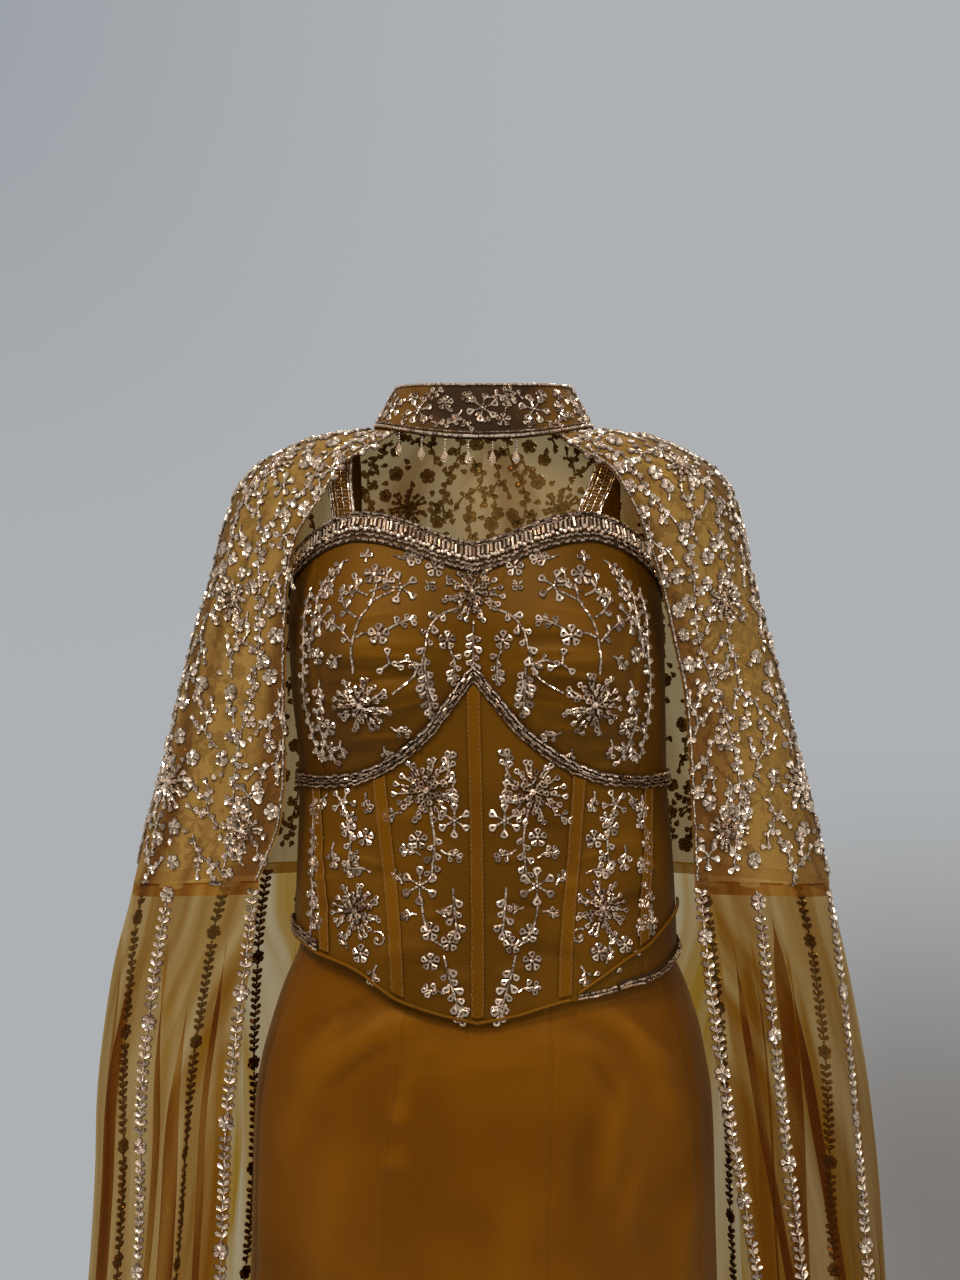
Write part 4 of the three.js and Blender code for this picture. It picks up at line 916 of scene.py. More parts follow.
def spray(path, pairs=3, size=6.0, first=0.35):
    """A stem with pairs of loops that open along it, not quite opposite each other, and one at its end."""
    beads = stem(path)
    points = along_path(path, 1.0)
    for k in range(pairs):
        for side in (-1, 1):
            share = first + (0.92 - first) * (k + 0.22 * side) / max(pairs - 1, 1)
            u, v, angle = points[int(min(max(share, 0), 1) * (len(points) - 1))]
            opened = angle + side * (44 + 9 * math.sin(5 * k + 2 * side + path[0][0]))
            c, s = bearing(opened)
            grown = size * (1.05 + 0.13 * math.sin(3.1 * k + side + path[0][1]))
            beads += loop(u + 0.9 * c, v + 0.9 * s, opened, grown, grown * 0.74)
    u, v, angle = points[-1]
    return beads + loop(u, v, angle, size * 1.15, size * 0.8)


def sprig(u, v, angle, size=14.0):
    c, s = bearing(angle)
    bend = size * 0.12
    middle = (u + c * size / 2 - s * bend, v + s * size / 2 + c * bend)
    return spray([(u, v), middle, (u + c * size, v + s * size)], 2, size * 0.4, 0.5)


def curl(u, v, size=9.0, turn=0, way=1):
    path = []
    for k in range(9):
        c, s = bearing(turn + way * k * 48)
        reach = size * (1 - k / 9.5) * 0.6
        path.append((u + c * reach, v + s * reach))
    return stem(path, 2.3) + [("pearl", u, v, 0, 2.6, 2.6, 1.8)]


def branch(u, v):
    """A leafy stem with two side stems and a flower at its end."""
    beads = vine([(u - 2, v - 24), (u + 3, v - 9), (u - 3, v + 6), (u + 1, v + 19)], 7.4)
    beads += spray([(u + 2, v - 6), (u + 9, v), (u + 12, v + 8)], 1, 5)
    beads += spray([(u - 2, v + 3), (u - 9, v + 8), (u - 12, v + 16)], 1, 5)
    return beads + flower(u + 2, v + 25, 9)


def vine(path, spacing=7.5, size=6.2):
    """A stem with loops on one side and the other in turn, some of them in threes."""
    beads = stem(path)
    for k, (u, v, angle) in enumerate(along_path(path, spacing)):
        side = 1 if k % 2 else -1
        if k % 4 == 2:
            beads += trefoil(u, v, angle + side * 60, size * 0.85)
        else:
            beads += loop(u, v, angle + side * (46 + 10 * math.sin(3 * k)), size, size * 0.72)
    return beads


# Node materials

class Wire:
    """A socket with arithmetic: each operation adds a node."""

    def __init__(self, nodes, socket):
        self.nodes, self.socket = nodes, socket

    def math(self, operation, *others):
        return self.nodes.node("Math", {"operation": operation}, self, *others)

    def __add__(self, other):
        return self.math("ADD", other)

    def __sub__(self, other):
        return self.math("SUBTRACT", other)

    def __mul__(self, other):
        return self.math("MULTIPLY", other)

    def __rsub__(self, other):
        return self.nodes.node("Math", {"operation": "SUBTRACT"}, other, self)

    __radd__ = __add__
    __rmul__ = __mul__


class Nodes:
    """The nodes of a material or of the room."""

    def __init__(self, owner):
        owner.use_nodes = True
        self.nodes, self.links = owner.node_tree.nodes, owner.node_tree.links

    def own(self, kind):
        return next(n for n in self.nodes if n.type == kind)

    def set(self, socket, value):
        if isinstance(value, Wire):
            self.links.new(value.socket, socket)
        elif isinstance(value, tuple) and len(value) == 3 and len(socket.default_value) == 4:
            socket.default_value = (*value, 1)
        else:
            socket.default_value = value

    def node(self, kind, settings=None, *values, out=0, **named):
        made = self.nodes.new("ShaderNode" + kind)
        for name, value in (settings or {}).items():
            setattr(made, name, value)
        for socket, value in zip(made.inputs, values):
            self.set(socket, value)
        for name, value in named.items():
            self.set(made.inputs[name.replace("_", " ")], value)
        return Wire(self, made.outputs[out])

    def place(self):
        return self.node("TexCoord", out="Object")

    def cloth(self):
        return self.node("UVMap", {"uv_map": "cloth"})

    def scaled(self, vector, *scale):
        return self.node("Mapping", None, Vector=vector, Scale=scale)

    def noise(self, vector, scale, detail=3.0, roughness=0.5):
        return self.node("TexNoise", None, Vector=vector, Scale=scale, Detail=detail, Roughness=roughness)

    def measure(self, name):
        return self.node("Attribute", {"attribute_name": name}, out="Fac")

    def blend(self, factor, one, two):
        """Mixes two colours."""
        made = self.nodes.new("ShaderNodeMix")
        made.data_type = "RGBA"
        for socket, value in ((made.inputs[0], factor), (made.inputs[6], one), (made.inputs[7], two)):
            self.set(socket, value)
        return Wire(self, made.outputs[2])

    def between(self, value, low, high, start=0.0, end=1.0):
        return self.node("MapRange", {"interpolation_type": "SMOOTHSTEP"}, value, low, high, start, end)

    def part(self, vector, axis):
        return self.node("SeparateXYZ", None, vector, out=axis)

    def size(self, value):
        return self.node("Math", {"operation": "ABSOLUTE"}, value)

    def bump(self, height, strength, distance):
        return self.node("Bump", None, Strength=strength, Distance=distance, Height=height)


class Material(Nodes):
    def __init__(self, name, **sockets):
        self.material = bpy.data.materials.new(name)
        super().__init__(self.material)
        self.shader = self.own("BSDF_PRINCIPLED")
        self.feed(**sockets)

    def feed(self, **sockets):
        for name, value in sockets.items():
            self.set(self.shader.inputs[name.replace("_", " ")], value)
        return self.material


# deep and lit are a shaded and a lit copy of the satin's colour
def satin(name, deep, lit, roughness, sheen):
    m = Material(name, Sheen_Weight=sheen, Sheen_Roughness=0.35, Sheen_Tint=(0.95, 0.55, 0.12),
                 Specular_IOR_Level=0.24, Specular_Tint=(1.0, 0.6, 0.16))
    cloth = m.cloth()
    threads = m.noise(m.scaled(cloth, 900, 90, 1), 1.0, 2.0)
    soft = m.noise(m.place(), 9.0, 2.0)
    # Random patches and threads; the crease height paints shade in troughs and a highlight on ridges
    tone = m.between(soft, 0.35, 0.65) * 0.5 + threads * 0.3 + m.measure("relief_and_shade") * 0.24
    weave = m.noise(m.scaled(cloth, 2400, 1100, 1), 1.0, 1.0)
    wrinkle = m.noise(m.scaled(cloth, 22, 9, 1), 1.0, 3.0)
    height = weave * 0.25 + wrinkle * 0.75
    return m.feed(Base_Color=m.blend(tone, deep, lit), Roughness=threads * 0.12 + (roughness - 0.06),
                  Normal=m.bump(height, 0.5, 0.0024))


def tulle(name, light, deep, net_color, cover, patchy=1.0):
    """Net that colours the light through it, more where it turns away, with a little thread that shows."""
    m = Material(name, Roughness=0.7, Sheen_Weight=0.4, Sheen_Roughness=0.4, Sheen_Tint=(0.9, 0.66, 0.3),
                 Specular_IOR_Level=0.25)
    cloth = m.cloth()
    net = m.noise(m.scaled(cloth, 900, 900, 1), 1.0, 1.0)
    streak = m.noise(m.scaled(cloth, 60, 2.5, 1), 1.0, 3.0)
    soft = m.noise(m.scaled(cloth, 24, 1.4, 1), 1.0, 1.0)
    seam = m.between(m.part(cloth, "Y"), 0.0017, 0.0009)
    # The net's measure adds painted shade: the yoke's fold bands and the drape's shade behind the body
    density_and_shade = m.between(m.measure("turn"), 0.01, 0.2) * 0.6
    density_and_shade = density_and_shade + m.between(streak, 0.45, 0.68) * (0.4 * patchy) + seam
    density_and_shade = density_and_shade + m.between(soft, 0.43, 0.6) * (0.6 * patchy) + m.measure("relief_and_shade") - 0.03
    thin, thick = (m.node("BsdfTransparent", None, Color=color) for color in (light, deep))
    through = m.node("MixShader", None, m.node("Clamp", None, density_and_shade, 0.0, 1.0), thin, thick)
    thread = m.blend(net, tuple(c * 1.1 for c in net_color), tuple(c * 1.4 for c in net_color))
    dense_shaded_thread = tuple(c * k for c, k in zip(net_color, (0.6, 0.42, 0.2)))
    # The thread is darkened, as painted shade, where the net is denser and where shade is painted
    m.feed(Base_Color=m.blend(m.between(density_and_shade, -0.1, 0.75), thread, dense_shaded_thread))
    share = m.between(net, 0.3, 0.7, cover * 0.92, cover * 1.08)
    surface = m.node("MixShader", None, share, through, Wire(m, m.shader.outputs[0]))
    m.set(m.own("OUTPUT_MATERIAL").inputs["Surface"], surface)
    return m.material


def bead_material(name, dark, light, metallic=0.8, low=0.14, high=0.36):
    m = Material(name, Specular_IOR_Level=0.6, Coat_Roughness=0.06)
    tone = m.measure("tone")
    fleck = m.noise(m.place(), 700.0, 1.0)
    mixed = m.between(tone * 0.7 + fleck * 0.4, 0.2, 0.95)
    # Below a tone of 0, on a bead's foot and in a loop's eye, the colour is near black: painted shade
    outside_painted_shade = m.between(tone, -0.7, -0.1)
    color = m.blend(outside_painted_shade, (0.02, 0.009, 0.003), m.blend(mixed, dark, light))
    return m.feed(Base_Color=color, Metallic=outside_painted_shade * metallic, Coat_Weight=outside_painted_shade * 0.35,
                  Roughness=m.between(fleck, 0.3, 0.7, low, high))


def collar_material():
    m = Material("collar_cloth", Specular_IOR_Level=0.06, Specular_Tint=(1.0, 0.7, 0.4))
    x = m.size(m.part(m.place(), "X") - 0.003)
    mottle = m.noise(m.place(), 38.0, 3.0)
    ends = m.between(x + mottle * 0.05, 0.055, 0.09)
    weave = m.noise(m.scaled(m.cloth(), 1500, 1500, 1), 1.0, 1.0)
    dark = m.blend(mottle, (0.006, 0.003, 0.0018), (0.036, 0.016, 0.007))
    return m.feed(Base_Color=m.blend(ends, dark, (0.12, 0.052, 0.009)), Roughness=weave * 0.2 + 0.45,
                  Normal=m.bump(weave, 0.3, 0.0008))


def glass_material():
    m = Material("drop_glass", Roughness=0.04, IOR=1.52, Transmission_Weight=0.75)
    fleck = m.noise(m.place(), 260.0, 1.0)
    return m.feed(Base_Color=m.blend(fleck, (0.75, 0.42, 0.18), (0.98, 0.88, 0.72)))


CORSET_SATIN = satin("corset_satin", (0.052, 0.0165, 0.0004), (0.115, 0.041, 0.0012), 0.44, 0.0)
SKIRT_SATIN = satin("skirt_satin", (0.09, 0.025, 0.0002), (0.14, 0.043, 0.0004), 0.38, 0.08)
RIBBON = satin("ribbon_satin", (0.075, 0.024, 0.0004), (0.145, 0.05, 0.001), 0.36, 0.05)
YOKE_NET = tulle("yoke_net", (0.86, 0.66, 0.34), (0.4, 0.185, 0.022), (0.25, 0.13, 0.024), 0.5, 0.5)
DRAPE_NET = tulle("drape_net", (0.85, 0.72, 0.48), (0.56, 0.31, 0.035), (0.28, 0.15, 0.03), 0.1)
COLLAR_CLOTH = collar_material()
BAND_CLOTH = satin("band_cloth", (0.016, 0.007, 0.003), (0.045, 0.02, 0.009), 0.6, 0.0)
CRYSTAL = bead_material("rose_crystal", (0.19, 0.11, 0.06), (0.78, 0.59, 0.43))
PALE_CRYSTAL = bead_material("pale_crystal", (0.3, 0.2, 0.125), (0.95, 0.77, 0.6))
CORD_METAL = bead_material("rose_metal", (0.16, 0.095, 0.055), (0.66, 0.47, 0.33), 0.9, 0.16, 0.36)
STITCH = Material("stitch", Roughness=0.7).feed(Base_Color=(0.16, 0.07, 0.015))
DROP_GLASS = glass_material()


# Cloth pieces

def bodice_panel(name, start, end, top, bottom, across, down, material=CORSET_SATIN):
    """A panel on each side; start and end are given for the left one."""
    for side, sign in (("left", 1), ("right", -1)):
        first, last = (start, end) if sign > 0 else (lambda z: -end(z), lambda z: -start(z))
        place = tube_place(moved(first, SEAM_GAP_DEG), moved(last, -SEAM_GAP_DEG),
                           moved(top, -0.2), moved(bottom, 0.2))
        cloth(f"{name}_{side}_satin", SURFACES["bodice"], place, across, down, material, "corset_satin",
              [f"{name}_{side}"], "stretched", sewn=0.5)


def seam(table, column):
    return lambda z: table.read(column, z)


def make_bodice():
    bodice_panel("cup", level(0), level(CUP_SEAM), neckline, underbust, 76, 88)
    bodice_panel("cup_side", level(CUP_SEAM), level(SIDE_SEAM), neckline, underbust, 30, 80)
    middle, outer, back = (seam(CORSET_SEAMS, n) for n in ("middle", "outer", "back"))
    bodice_panel("corset_front", level(0), middle, underbust, corset_hem, 44, 96)
    bodice_panel("corset_side_front", middle, outer, underbust, corset_hem, 36, 70)
    bodice_panel("corset_side", outer, level(SIDE_SEAM), underbust, corset_hem, 36, 60)
    bodice_panel("bodice_side_back", level(SIDE_SEAM), back, neckline, corset_hem, 50, 110)
    bodice_panel("bodice_back", back, level(180), neckline, corset_hem, 44, 110)


def bone_spread(line, z):
    """Half the ribbon's width, in degrees of azimuth."""
    step = 0.5
    here = bodice(line(z), z)
    return RIBBON_HALF * step / np.linalg.norm(here - bodice(line(z) + step, z), axis=-1)


def band_half(azimuth):
    """Half the height of the band along the bust seam, which is taller where the seam is steep."""
    turn = np.abs(wrapped(azimuth))
    one, two = np.minimum(turn + 1, 179), np.maximum(turn - 1, 0)
    a, b = bodice(one, underbust(one)), bodice(two, underbust(two))
    slope = (a[..., 2] - b[..., 2]) / np.hypot(a[..., 0] - b[..., 0], a[..., 1] - b[..., 1])
    return UNDERBUST_BAND_HALF * np.sqrt(1 + slope ** 2)


def make_bones():
    def under_bust(azimuth):
        return underbust(azimuth) - band_half(azimuth) - 1

    def above_hem(azimuth):
        return piping_line(azimuth) + 3.6

    def bone(name, line, top):
        place = tube_place(lambda z: line(z) - bone_spread(line, z), lambda z: line(z) + bone_spread(line, z),
                           top, above_hem)
        cloth(f"{name}_ribbon", SURFACES["bodice"], place, 10, 90, RIBBON, "ribbon", [name], "stretched",
              lift=ON_CORSET)
        sew = Beadwork(1, plain=True)
        s = np.repeat([0.1, 0.9], 70)
        a, b = place(s, np.tile(np.linspace(0.01, 0.99, 70), 2))
        sew.lay(SURFACES["bodice"], a, b, (0, 1), "bugle", 1.7, 0.55, 0.35, ON_CORSET)
        sew.make(f"{name}_stitches", STITCH, "ribbon")

    bone("bone_centre", level(0), under_bust)
    for column in ("middle", "outer"):
        line = seam(CORSET_SEAMS, column)
        bone(f"bone_{column}_left", line, under_bust)
        bone(f"bone_{column}_right", lambda z, line=line: -line(z), under_bust)
    back = seam(CORSET_SEAMS, "back")
    under_band = moved(neckline, -NECKLINE_BAND - 2)
    bone("bone_back_left", back, under_band)
    bone("bone_back_right", lambda z: -back(z), under_band)


def band(name, first, last, line, above, below, across, down):
    place = tube_place(level(first), level(last), lambda a: line(a) + above(a), lambda a: line(a) - below(a))
    cloth(f"{name}_cloth", SURFACES["bodice"], place, across, down, BAND_CLOTH, "beadwork", [name],
          "stretched", lift=ON_CORSET, thick=1.0)


def row_on(beads, surface, line, first, last, spacing, shape, length, width, height, lift, wave=0.0,
           turned=False, tone=0.5):
    """A row of beads along a line of the surface, given by a function that turns 0 to 1 into a and b."""
    t = np.linspace(0, 1, 1500)
    a, b = line(t)
    points = surface["at"](a, b)
    run = run_along(points)
    count = int(run[-1] * (last - first) / spacing)
    at = np.interp(run[-1] * (first + (last - first) * (np.arange(count) + 0.5) / count), run, t)
    a, b = line(at)
    a2, b2 = line(np.minimum(at + 0.0008, 1))
    a1, b1 = line(np.maximum(at - 0.0008, 0))
    step_a, step_b = a2 - a1, b2 - b1
    if turned:
        runs_along_a = abs(step_a[0]) > 1e-9
        step_a, step_b = np.full(count, float(not runs_along_a)), np.full(count, float(runs_along_a))
    tones = np.clip(tone + beads.random.normal(0, 0.3, count), 0, 1)
    lifts = lift + wave * np.sin(np.arange(count) * 1.9)
    grown = 1 + 0.1 * beads.random.uniform(-1, 1, count)
    beads.lay(surface, a, b, (step_a, step_b), shape, length * grown, width * grown, height, lifts, tones)


def bodice_line(first, last, height):
    def line(t):
        azimuth = mix(first, last, t)
        return azimuth, height(azimuth)
    return line


def make_bands():
    band("neckline_band_front", *BANDS_FRONT, neckline, level(-0.2), level(NECKLINE_BAND), 170, 8)
    band("neckline_band_back", *BANDS_BACK, neckline, level(-0.2), level(NECKLINE_BAND), 120, 8)
    band("underbust_band", *BANDS_FRONT, underbust, band_half, band_half, 180, 6)
    band("hem_band_left", 52, BANDS_FRONT[1], corset_hem, level(7), level(-0.3), 50, 5)
    band("hem_band_right", BANDS_FRONT[0], -65, piping_line, level(9.1), level(-2.5), 40, 5)


def make_band_beads():
    on = SURFACES["bodice"]
    beads = Beadwork(11)
    cords = Beadwork(13)
    for first, last in (BANDS_FRONT, BANDS_BACK):
        def at(offset, wobble=0.0):
            return bodice_line(first, last, lambda a: neckline(a) + offset + wobble * np.sin(a * 2.3))
        row_on(cords, on, at(-1.4), 0, 1, 3.3, "bugle", 3.0, 1.8, 1.8, 1.9, 0.08, tone=0.6)
        row_on(cords, on, at(-3.6), 0, 1, 2.9, "bugle", 2.6, 1.4, 1.5, 1.8, 0.08, tone=0.4)
        row_on(beads, on, at(-8.3, 0.3), 0, 1, 3.5, "bugle", 6.6, 2.0, 2.0, 1.7, turned=True, tone=0.65)
        row_on(beads, on, at(-13.6, 0.8), 0, 1, 3.5, "pearl", 3.5, 3.5, 3.0, 1.7, tone=0.9)
        row_on(beads, on, at(-5.2, 0.4), 0, 1, 3.5, "seed", 2.0, 2.0, 1.6, 1.7, tone=0.6)
        row_on(cords, on, at(-17.6, 0.4), 0, 1, 3.5, "bugle", 3.2, 1.9, 1.8, 1.8, 0.08, tone=0.65)
        row_on(cords, on, at(-21.6, 0.4), 0, 1, 3.3, "bugle", 3.0, 1.9, 1.8, 1.8, 0.08, tone=0.6)
    beads.make("neckline_beads", CRYSTAL)
    cords.make("neckline_cords", CORD_METAL)
    beads = Beadwork(12)
    for share, wobble, tone in ((0.86, 0.3, 0.75), (0.34, 0.2, 0.5), (-0.2, 0.25, 0.6), (-0.82, 0.35, 0.7)):
        def height(a):
            return underbust(a) + band_half(a) * share + wobble * np.sin(a * 1.7 + share * 9)

        row_on(beads, on, bodice_line(*BANDS_FRONT, height), 0, 1, 3.7, "bugle", 3.4, 1.6, 1.8, 1.9,
               0.1, tone=tone)
    hem_rows = ((52, 89, 1.5, 1.8), (52, 89, 4.0, 1.8), (38.5, 51.6, 1.5, 0.3), (38.5, 51.6, 4.0, 0.3),
                (-89, -65, 3.9, 1.8), (-89, -65, 6.9, 1.8), (-89, -65, 10.0, 1.8))
    for first, last, offset, lift in hem_rows:
        line = bodice_line(first, last, moved(corset_hem, offset))
        row_on(beads, on, line, 0, 1, 4.0, "bugle", 3.7, 1.9, 2.0, lift, 0.15, tone=0.8)
    beads.make("trim_beads", CORD_METAL)


def tube_along(name, points, radius, sides, material, slot, nodes):
    """A round cord through the points."""
    run = unit(np.gradient(points, axis=0))
    side = unit(np.cross(run, [0.0, 0.0, 1.0]))
    up = np.cross(side, run)
    turns = np.linspace(0, 2 * np.pi, sides, endpoint=False)
    ring = (side[:, None] * np.cos(turns)[:, None] + up[:, None] * np.sin(turns)[:, None]) * radius
    corners = (points[:, None] + ring).reshape(-1, 3)
    ends = np.array([np.arange(sides)[::-1], (len(points) - 1) * sides + np.arange(sides)])
    faces = [ring_quads(len(points), sides), ends]
    settle(make_object(name, corners, faces, material, uv=corners[:, [0, 2]]), slot, *nodes)


def make_piping():
    for name, first, last in (("hem_piping", -179.5, 36.0), ("left_piping", 38.5, 88.5)):
        azimuth = np.linspace(first, last, 240)
        z = piping_line(azimuth)
        points = bodice(azimuth, z) + slopes(SURFACES["bodice"], azimuth, z)[2] * PIPING_LIFT
        tube_along(f"{name}_cord", points, PIPING_RADIUS, 8, RIBBON, "ribbon", [name])


def make_straps():
    for name, strap in STRAPS.items():
        surface = dict(at=strap.at, steps=(0.4, 0.004), rises=1)
        cloth(f"strap_{name}_satin", surface, lambda s, t: (mix(-STRAP_HALF, STRAP_HALF, s), t), 12, 90,
              RIBBON, "beadwork", [f"strap_{name}"], "stretched", thick=1.6)
        beads = Beadwork(61)

        def line(across):
            return lambda t: (np.full_like(t, across), mix(0.03, 0.97, t))

        for across, tone in ((-9.2, 0.7), (-7.2, 0.35), (7.2, 0.35), (9.2, 0.7)):
            row_on(beads, surface, line(across), 0, 1, 2.4, "bugle", 2.7, 1.8, 1.8, 0.2, 0.2, tone=tone)
        for across, tone in ((-4.2, 0.6), (-1.4, 0.75), (1.4, 0.6), (4.2, 0.75)):
            row_on(beads, surface, line(across), 0, 1, 2.9, "bugle", 2.9, 2.1, 1.7, 0.1,
                   turned=across in (-1.4, 4.2), tone=tone)
        beads.make(f"strap_beads_{name}", PALE_CRYSTAL)


def make_skirt():
    def around(column):
        return lambda z: 360 + SKIRT_SEAMS.read(column, z)

    panels = [
        ("skirt_front", seam(SKIRT_SEAMS, "right"), seam(SKIRT_SEAMS, "left"), 70),
        ("skirt_side_front_left", seam(SKIRT_SEAMS, "left"), seam(SKIRT_SEAMS, "side_left"), 60),
        ("skirt_back_left", seam(SKIRT_SEAMS, "side_left"), level(180), 90),
        ("skirt_back_right", level(180), around("side_right"), 90),
        ("skirt_side_front_right", seam(SKIRT_SEAMS, "side_right"), seam(SKIRT_SEAMS, "right"), 60),
    ]
    for name, start, end, across in panels:
        place = tube_place(moved(start, SEAM_GAP_DEG), moved(end, -SEAM_GAP_DEG), level(SKIRT_TOP),
                           level(SKIRT_HEM), lambda t: t ** 1.25)
        cloth(f"{name}_satin", SURFACES["skirt"], place, across, 110, SKIRT_SATIN, "skirt_satin", [name],
              "hung", sewn=0.7)


def make_cape():
    def to_seam(start, end):
        def place(s, t):
            reach = t * 62 / 60
            return mix(start, end, s), np.where(reach > 1, 1 + (reach - 1) * 0.29, reach)
        return place

    def hanging(start, end):
        return lambda s, t: (mix(start, end, s), t ** 1.3)

    seamed = dict(SURFACES["yoke"], at=yoke_and_seam)
    for name, start, end in (("left", 0.004, 0.49997), ("right", 0.50003, 0.996)):
        cloth(f"cape_yoke_{name}_net", seamed, to_seam(start, end), 140, 62, YOKE_NET, "tulle",
              [f"cape_yoke_{name}"], "draped", window=16)
    names = ("front_left", "back_left", "back_right", "front_right")
    gap = 0.00005
    for name, start, end in zip(names, DRAPE_SEAMS, DRAPE_SEAMS[1:]):
        cloth(f"cape_drape_{name}_net", SURFACES["drape"], hanging(start + gap, end - gap), 230, 46,
              DRAPE_NET, "tulle", [f"cape_drape_{name}"], "hung", window=12)


# By x on the front of the collar and how far up it
COLLAR_MOTIFS = [
    (2, 0.55, star(0, 0, 15, 6, 20)), (41, 0.5, star(0, 0, 15, 6, 50)),
    (-46, 0.45, star(0, 0, 14, 6, 10)), (17, 0.32, flower(0, 0, 9)), (-27, 0.62, flower(0, 0, 9.5)),
    (60, 0.5, flower(0, 0, 8.5)), (14, 0.74, spray([(-8, -1), (1, 2), (11, -3)], 3, 4.8, 0.2)),
    (-26, 0.26, spray([(-11, 1), (0, -2), (12, 1)], 3, 4.8, 0.2)),
    (54, 0.24, spray([(-10, -1), (0, -3), (11, 4)], 3, 5, 0.2)),
    (29, 0.8, spray([(6, -5), (0, 0), (-7, 3)], 2, 4.6)), (-9, 0.26, spray([(-4, 4), (2, -3)], 1, 4.8)),
    (-40, 0.78, spray([(-8, 0), (7, 2)], 2, 4.6)),
]


def make_collar():
    def place(s, t):
        return mix(180.45, 539.55, s), 1 - t

    cloth("collar_band", SURFACES["collar"], place, 160, 10, COLLAR_CLOTH, "collar_cloth", ["collar"],
          "stretched", thick=2.0)
    beads = Beadwork(21)
    on = SURFACES["collar"]

    def rim(up):
        return lambda t: (mix(181, 539, t), np.full_like(t, up))

    for up, size, tone in ((0.975, 2.0, 0.95), (0.035, 2.2, 0.95), (0.11, 1.3, 0.3)):
        row_on(beads, on, rim(up), 0, 1, 3.9, "bugle", 3.5, size, size, 0.2, 0.1, tone=tone)
    front = np.linspace(290, 430, 600)
    seen = collar(front, np.full(600, 0.5))
    taken = []
    for x, up, motif in COLLAR_MOTIFS:
        azimuth = float(front[np.argmin(np.abs(seen[:, 0] - x))])
        beads.lay_motif(on, azimuth, up, motif, scale=0.86)
        taken += [[*collar(azimuth + turn, up), 3.0] for turn in (-4, 0, 4)]
    kinds = [(collar_star, 26, 0.72), (flower, 15, 0.8), (short_sprig, 12, 0.75), (one_loop, 6.4, 0.8)]
    scatter(beads, on, 181, 539, 0.24, 0.77, kinds, 60, 6000, np.vstack(taken))
    beads.make("collar_beads", CRYSTAL)


def sprig_up(u, v):
    return sprig(u, v - 6, 90)


def collar_star(u, v):
    beads = star(u, v, 15, 6) + spray([(u + 6, v - 4), (u + 14, v - 6)], 2, 5)
    return beads + spray([(u - 6, v + 4), (u - 13, v + 7)], 1, 5)


def short_sprig(u, v):
    return sprig(u - 5, v, 10, 10)


def one_loop(u, v):
    return loop(u, v, 70, 5.5, 4.2)


def scatter(beads, surface, a_low, a_high, b_low, b_high, kinds, seed, tries, taken=()):
    """Scatters motifs over a part of the cloth, the largest first, so that none lies on another or on what
    is taken: rows of a place and how far round it. A kind is a motif, its spacing and its scale."""
    random = np.random.default_rng(seed)
    kept = np.array(taken, float).reshape(-1, 4)
    kept, reach = kept[:, :3], kept[:, 3]
    for motif, spacing, scale in kinds:
        a, b = random.uniform(a_low, a_high, tries), random.uniform(b_low, b_high, tries)
        points = surface["at"](a, b)
        for k in range(tries):
            near = np.linalg.norm(kept - points[k], axis=1)
            if np.any(near < reach + spacing * 0.5):
                continue
            kept, reach = np.vstack([kept, points[k]]), np.append(reach, spacing * 0.5)
            if motif in (sprig_up, branch):
                turn = random.uniform(-0.7, 0.7) + math.pi * random.integers(0, 2)
            else:
                turn = random.uniform(0, 2 * math.pi)
            beads.lay_motif(surface, a[k], b[k], motif(0, 0), turn, random.choice([-1, 1]), scale)


# Long wavy stems on each half of the yoke: share at the top and at the seam, where down it starts and ends
YOKE_VINES = [
    (0.03, 0.045, 0.0, 1.0), (0.1, 0.085, 0.12, 0.62), (0.13, 0.14, 0.55, 0.98),
    (0.17, 0.185, 0.05, 0.45), (0.2, 0.215, 0.5, 0.97), (0.27, 0.265, 0.15, 0.6),
    (0.31, 0.32, 0.62, 0.97), (0.36, 0.35, 0.1, 0.5), (0.41, 0.42, 0.45, 0.95), (0.46, 0.455, 0.05, 0.4),
]


# Bursts on each half of the yoke: share, how far down, and size
YOKE_BURSTS = [
    (0.036, 0.925, 16), (0.118, 0.85, 21), (0.07, 0.58, 14), (0.15, 0.47, 16), (0.09, 0.24, 15),
    (0.2, 0.93, 17), (0.235, 0.62, 18), (0.19, 0.2, 14), (0.29, 0.9, 19), (0.33, 0.52, 16),
    (0.3, 0.25, 14), (0.385, 0.88, 17), (0.41, 0.35, 16), (0.47, 0.92, 18), (0.462, 0.62, 16),
]


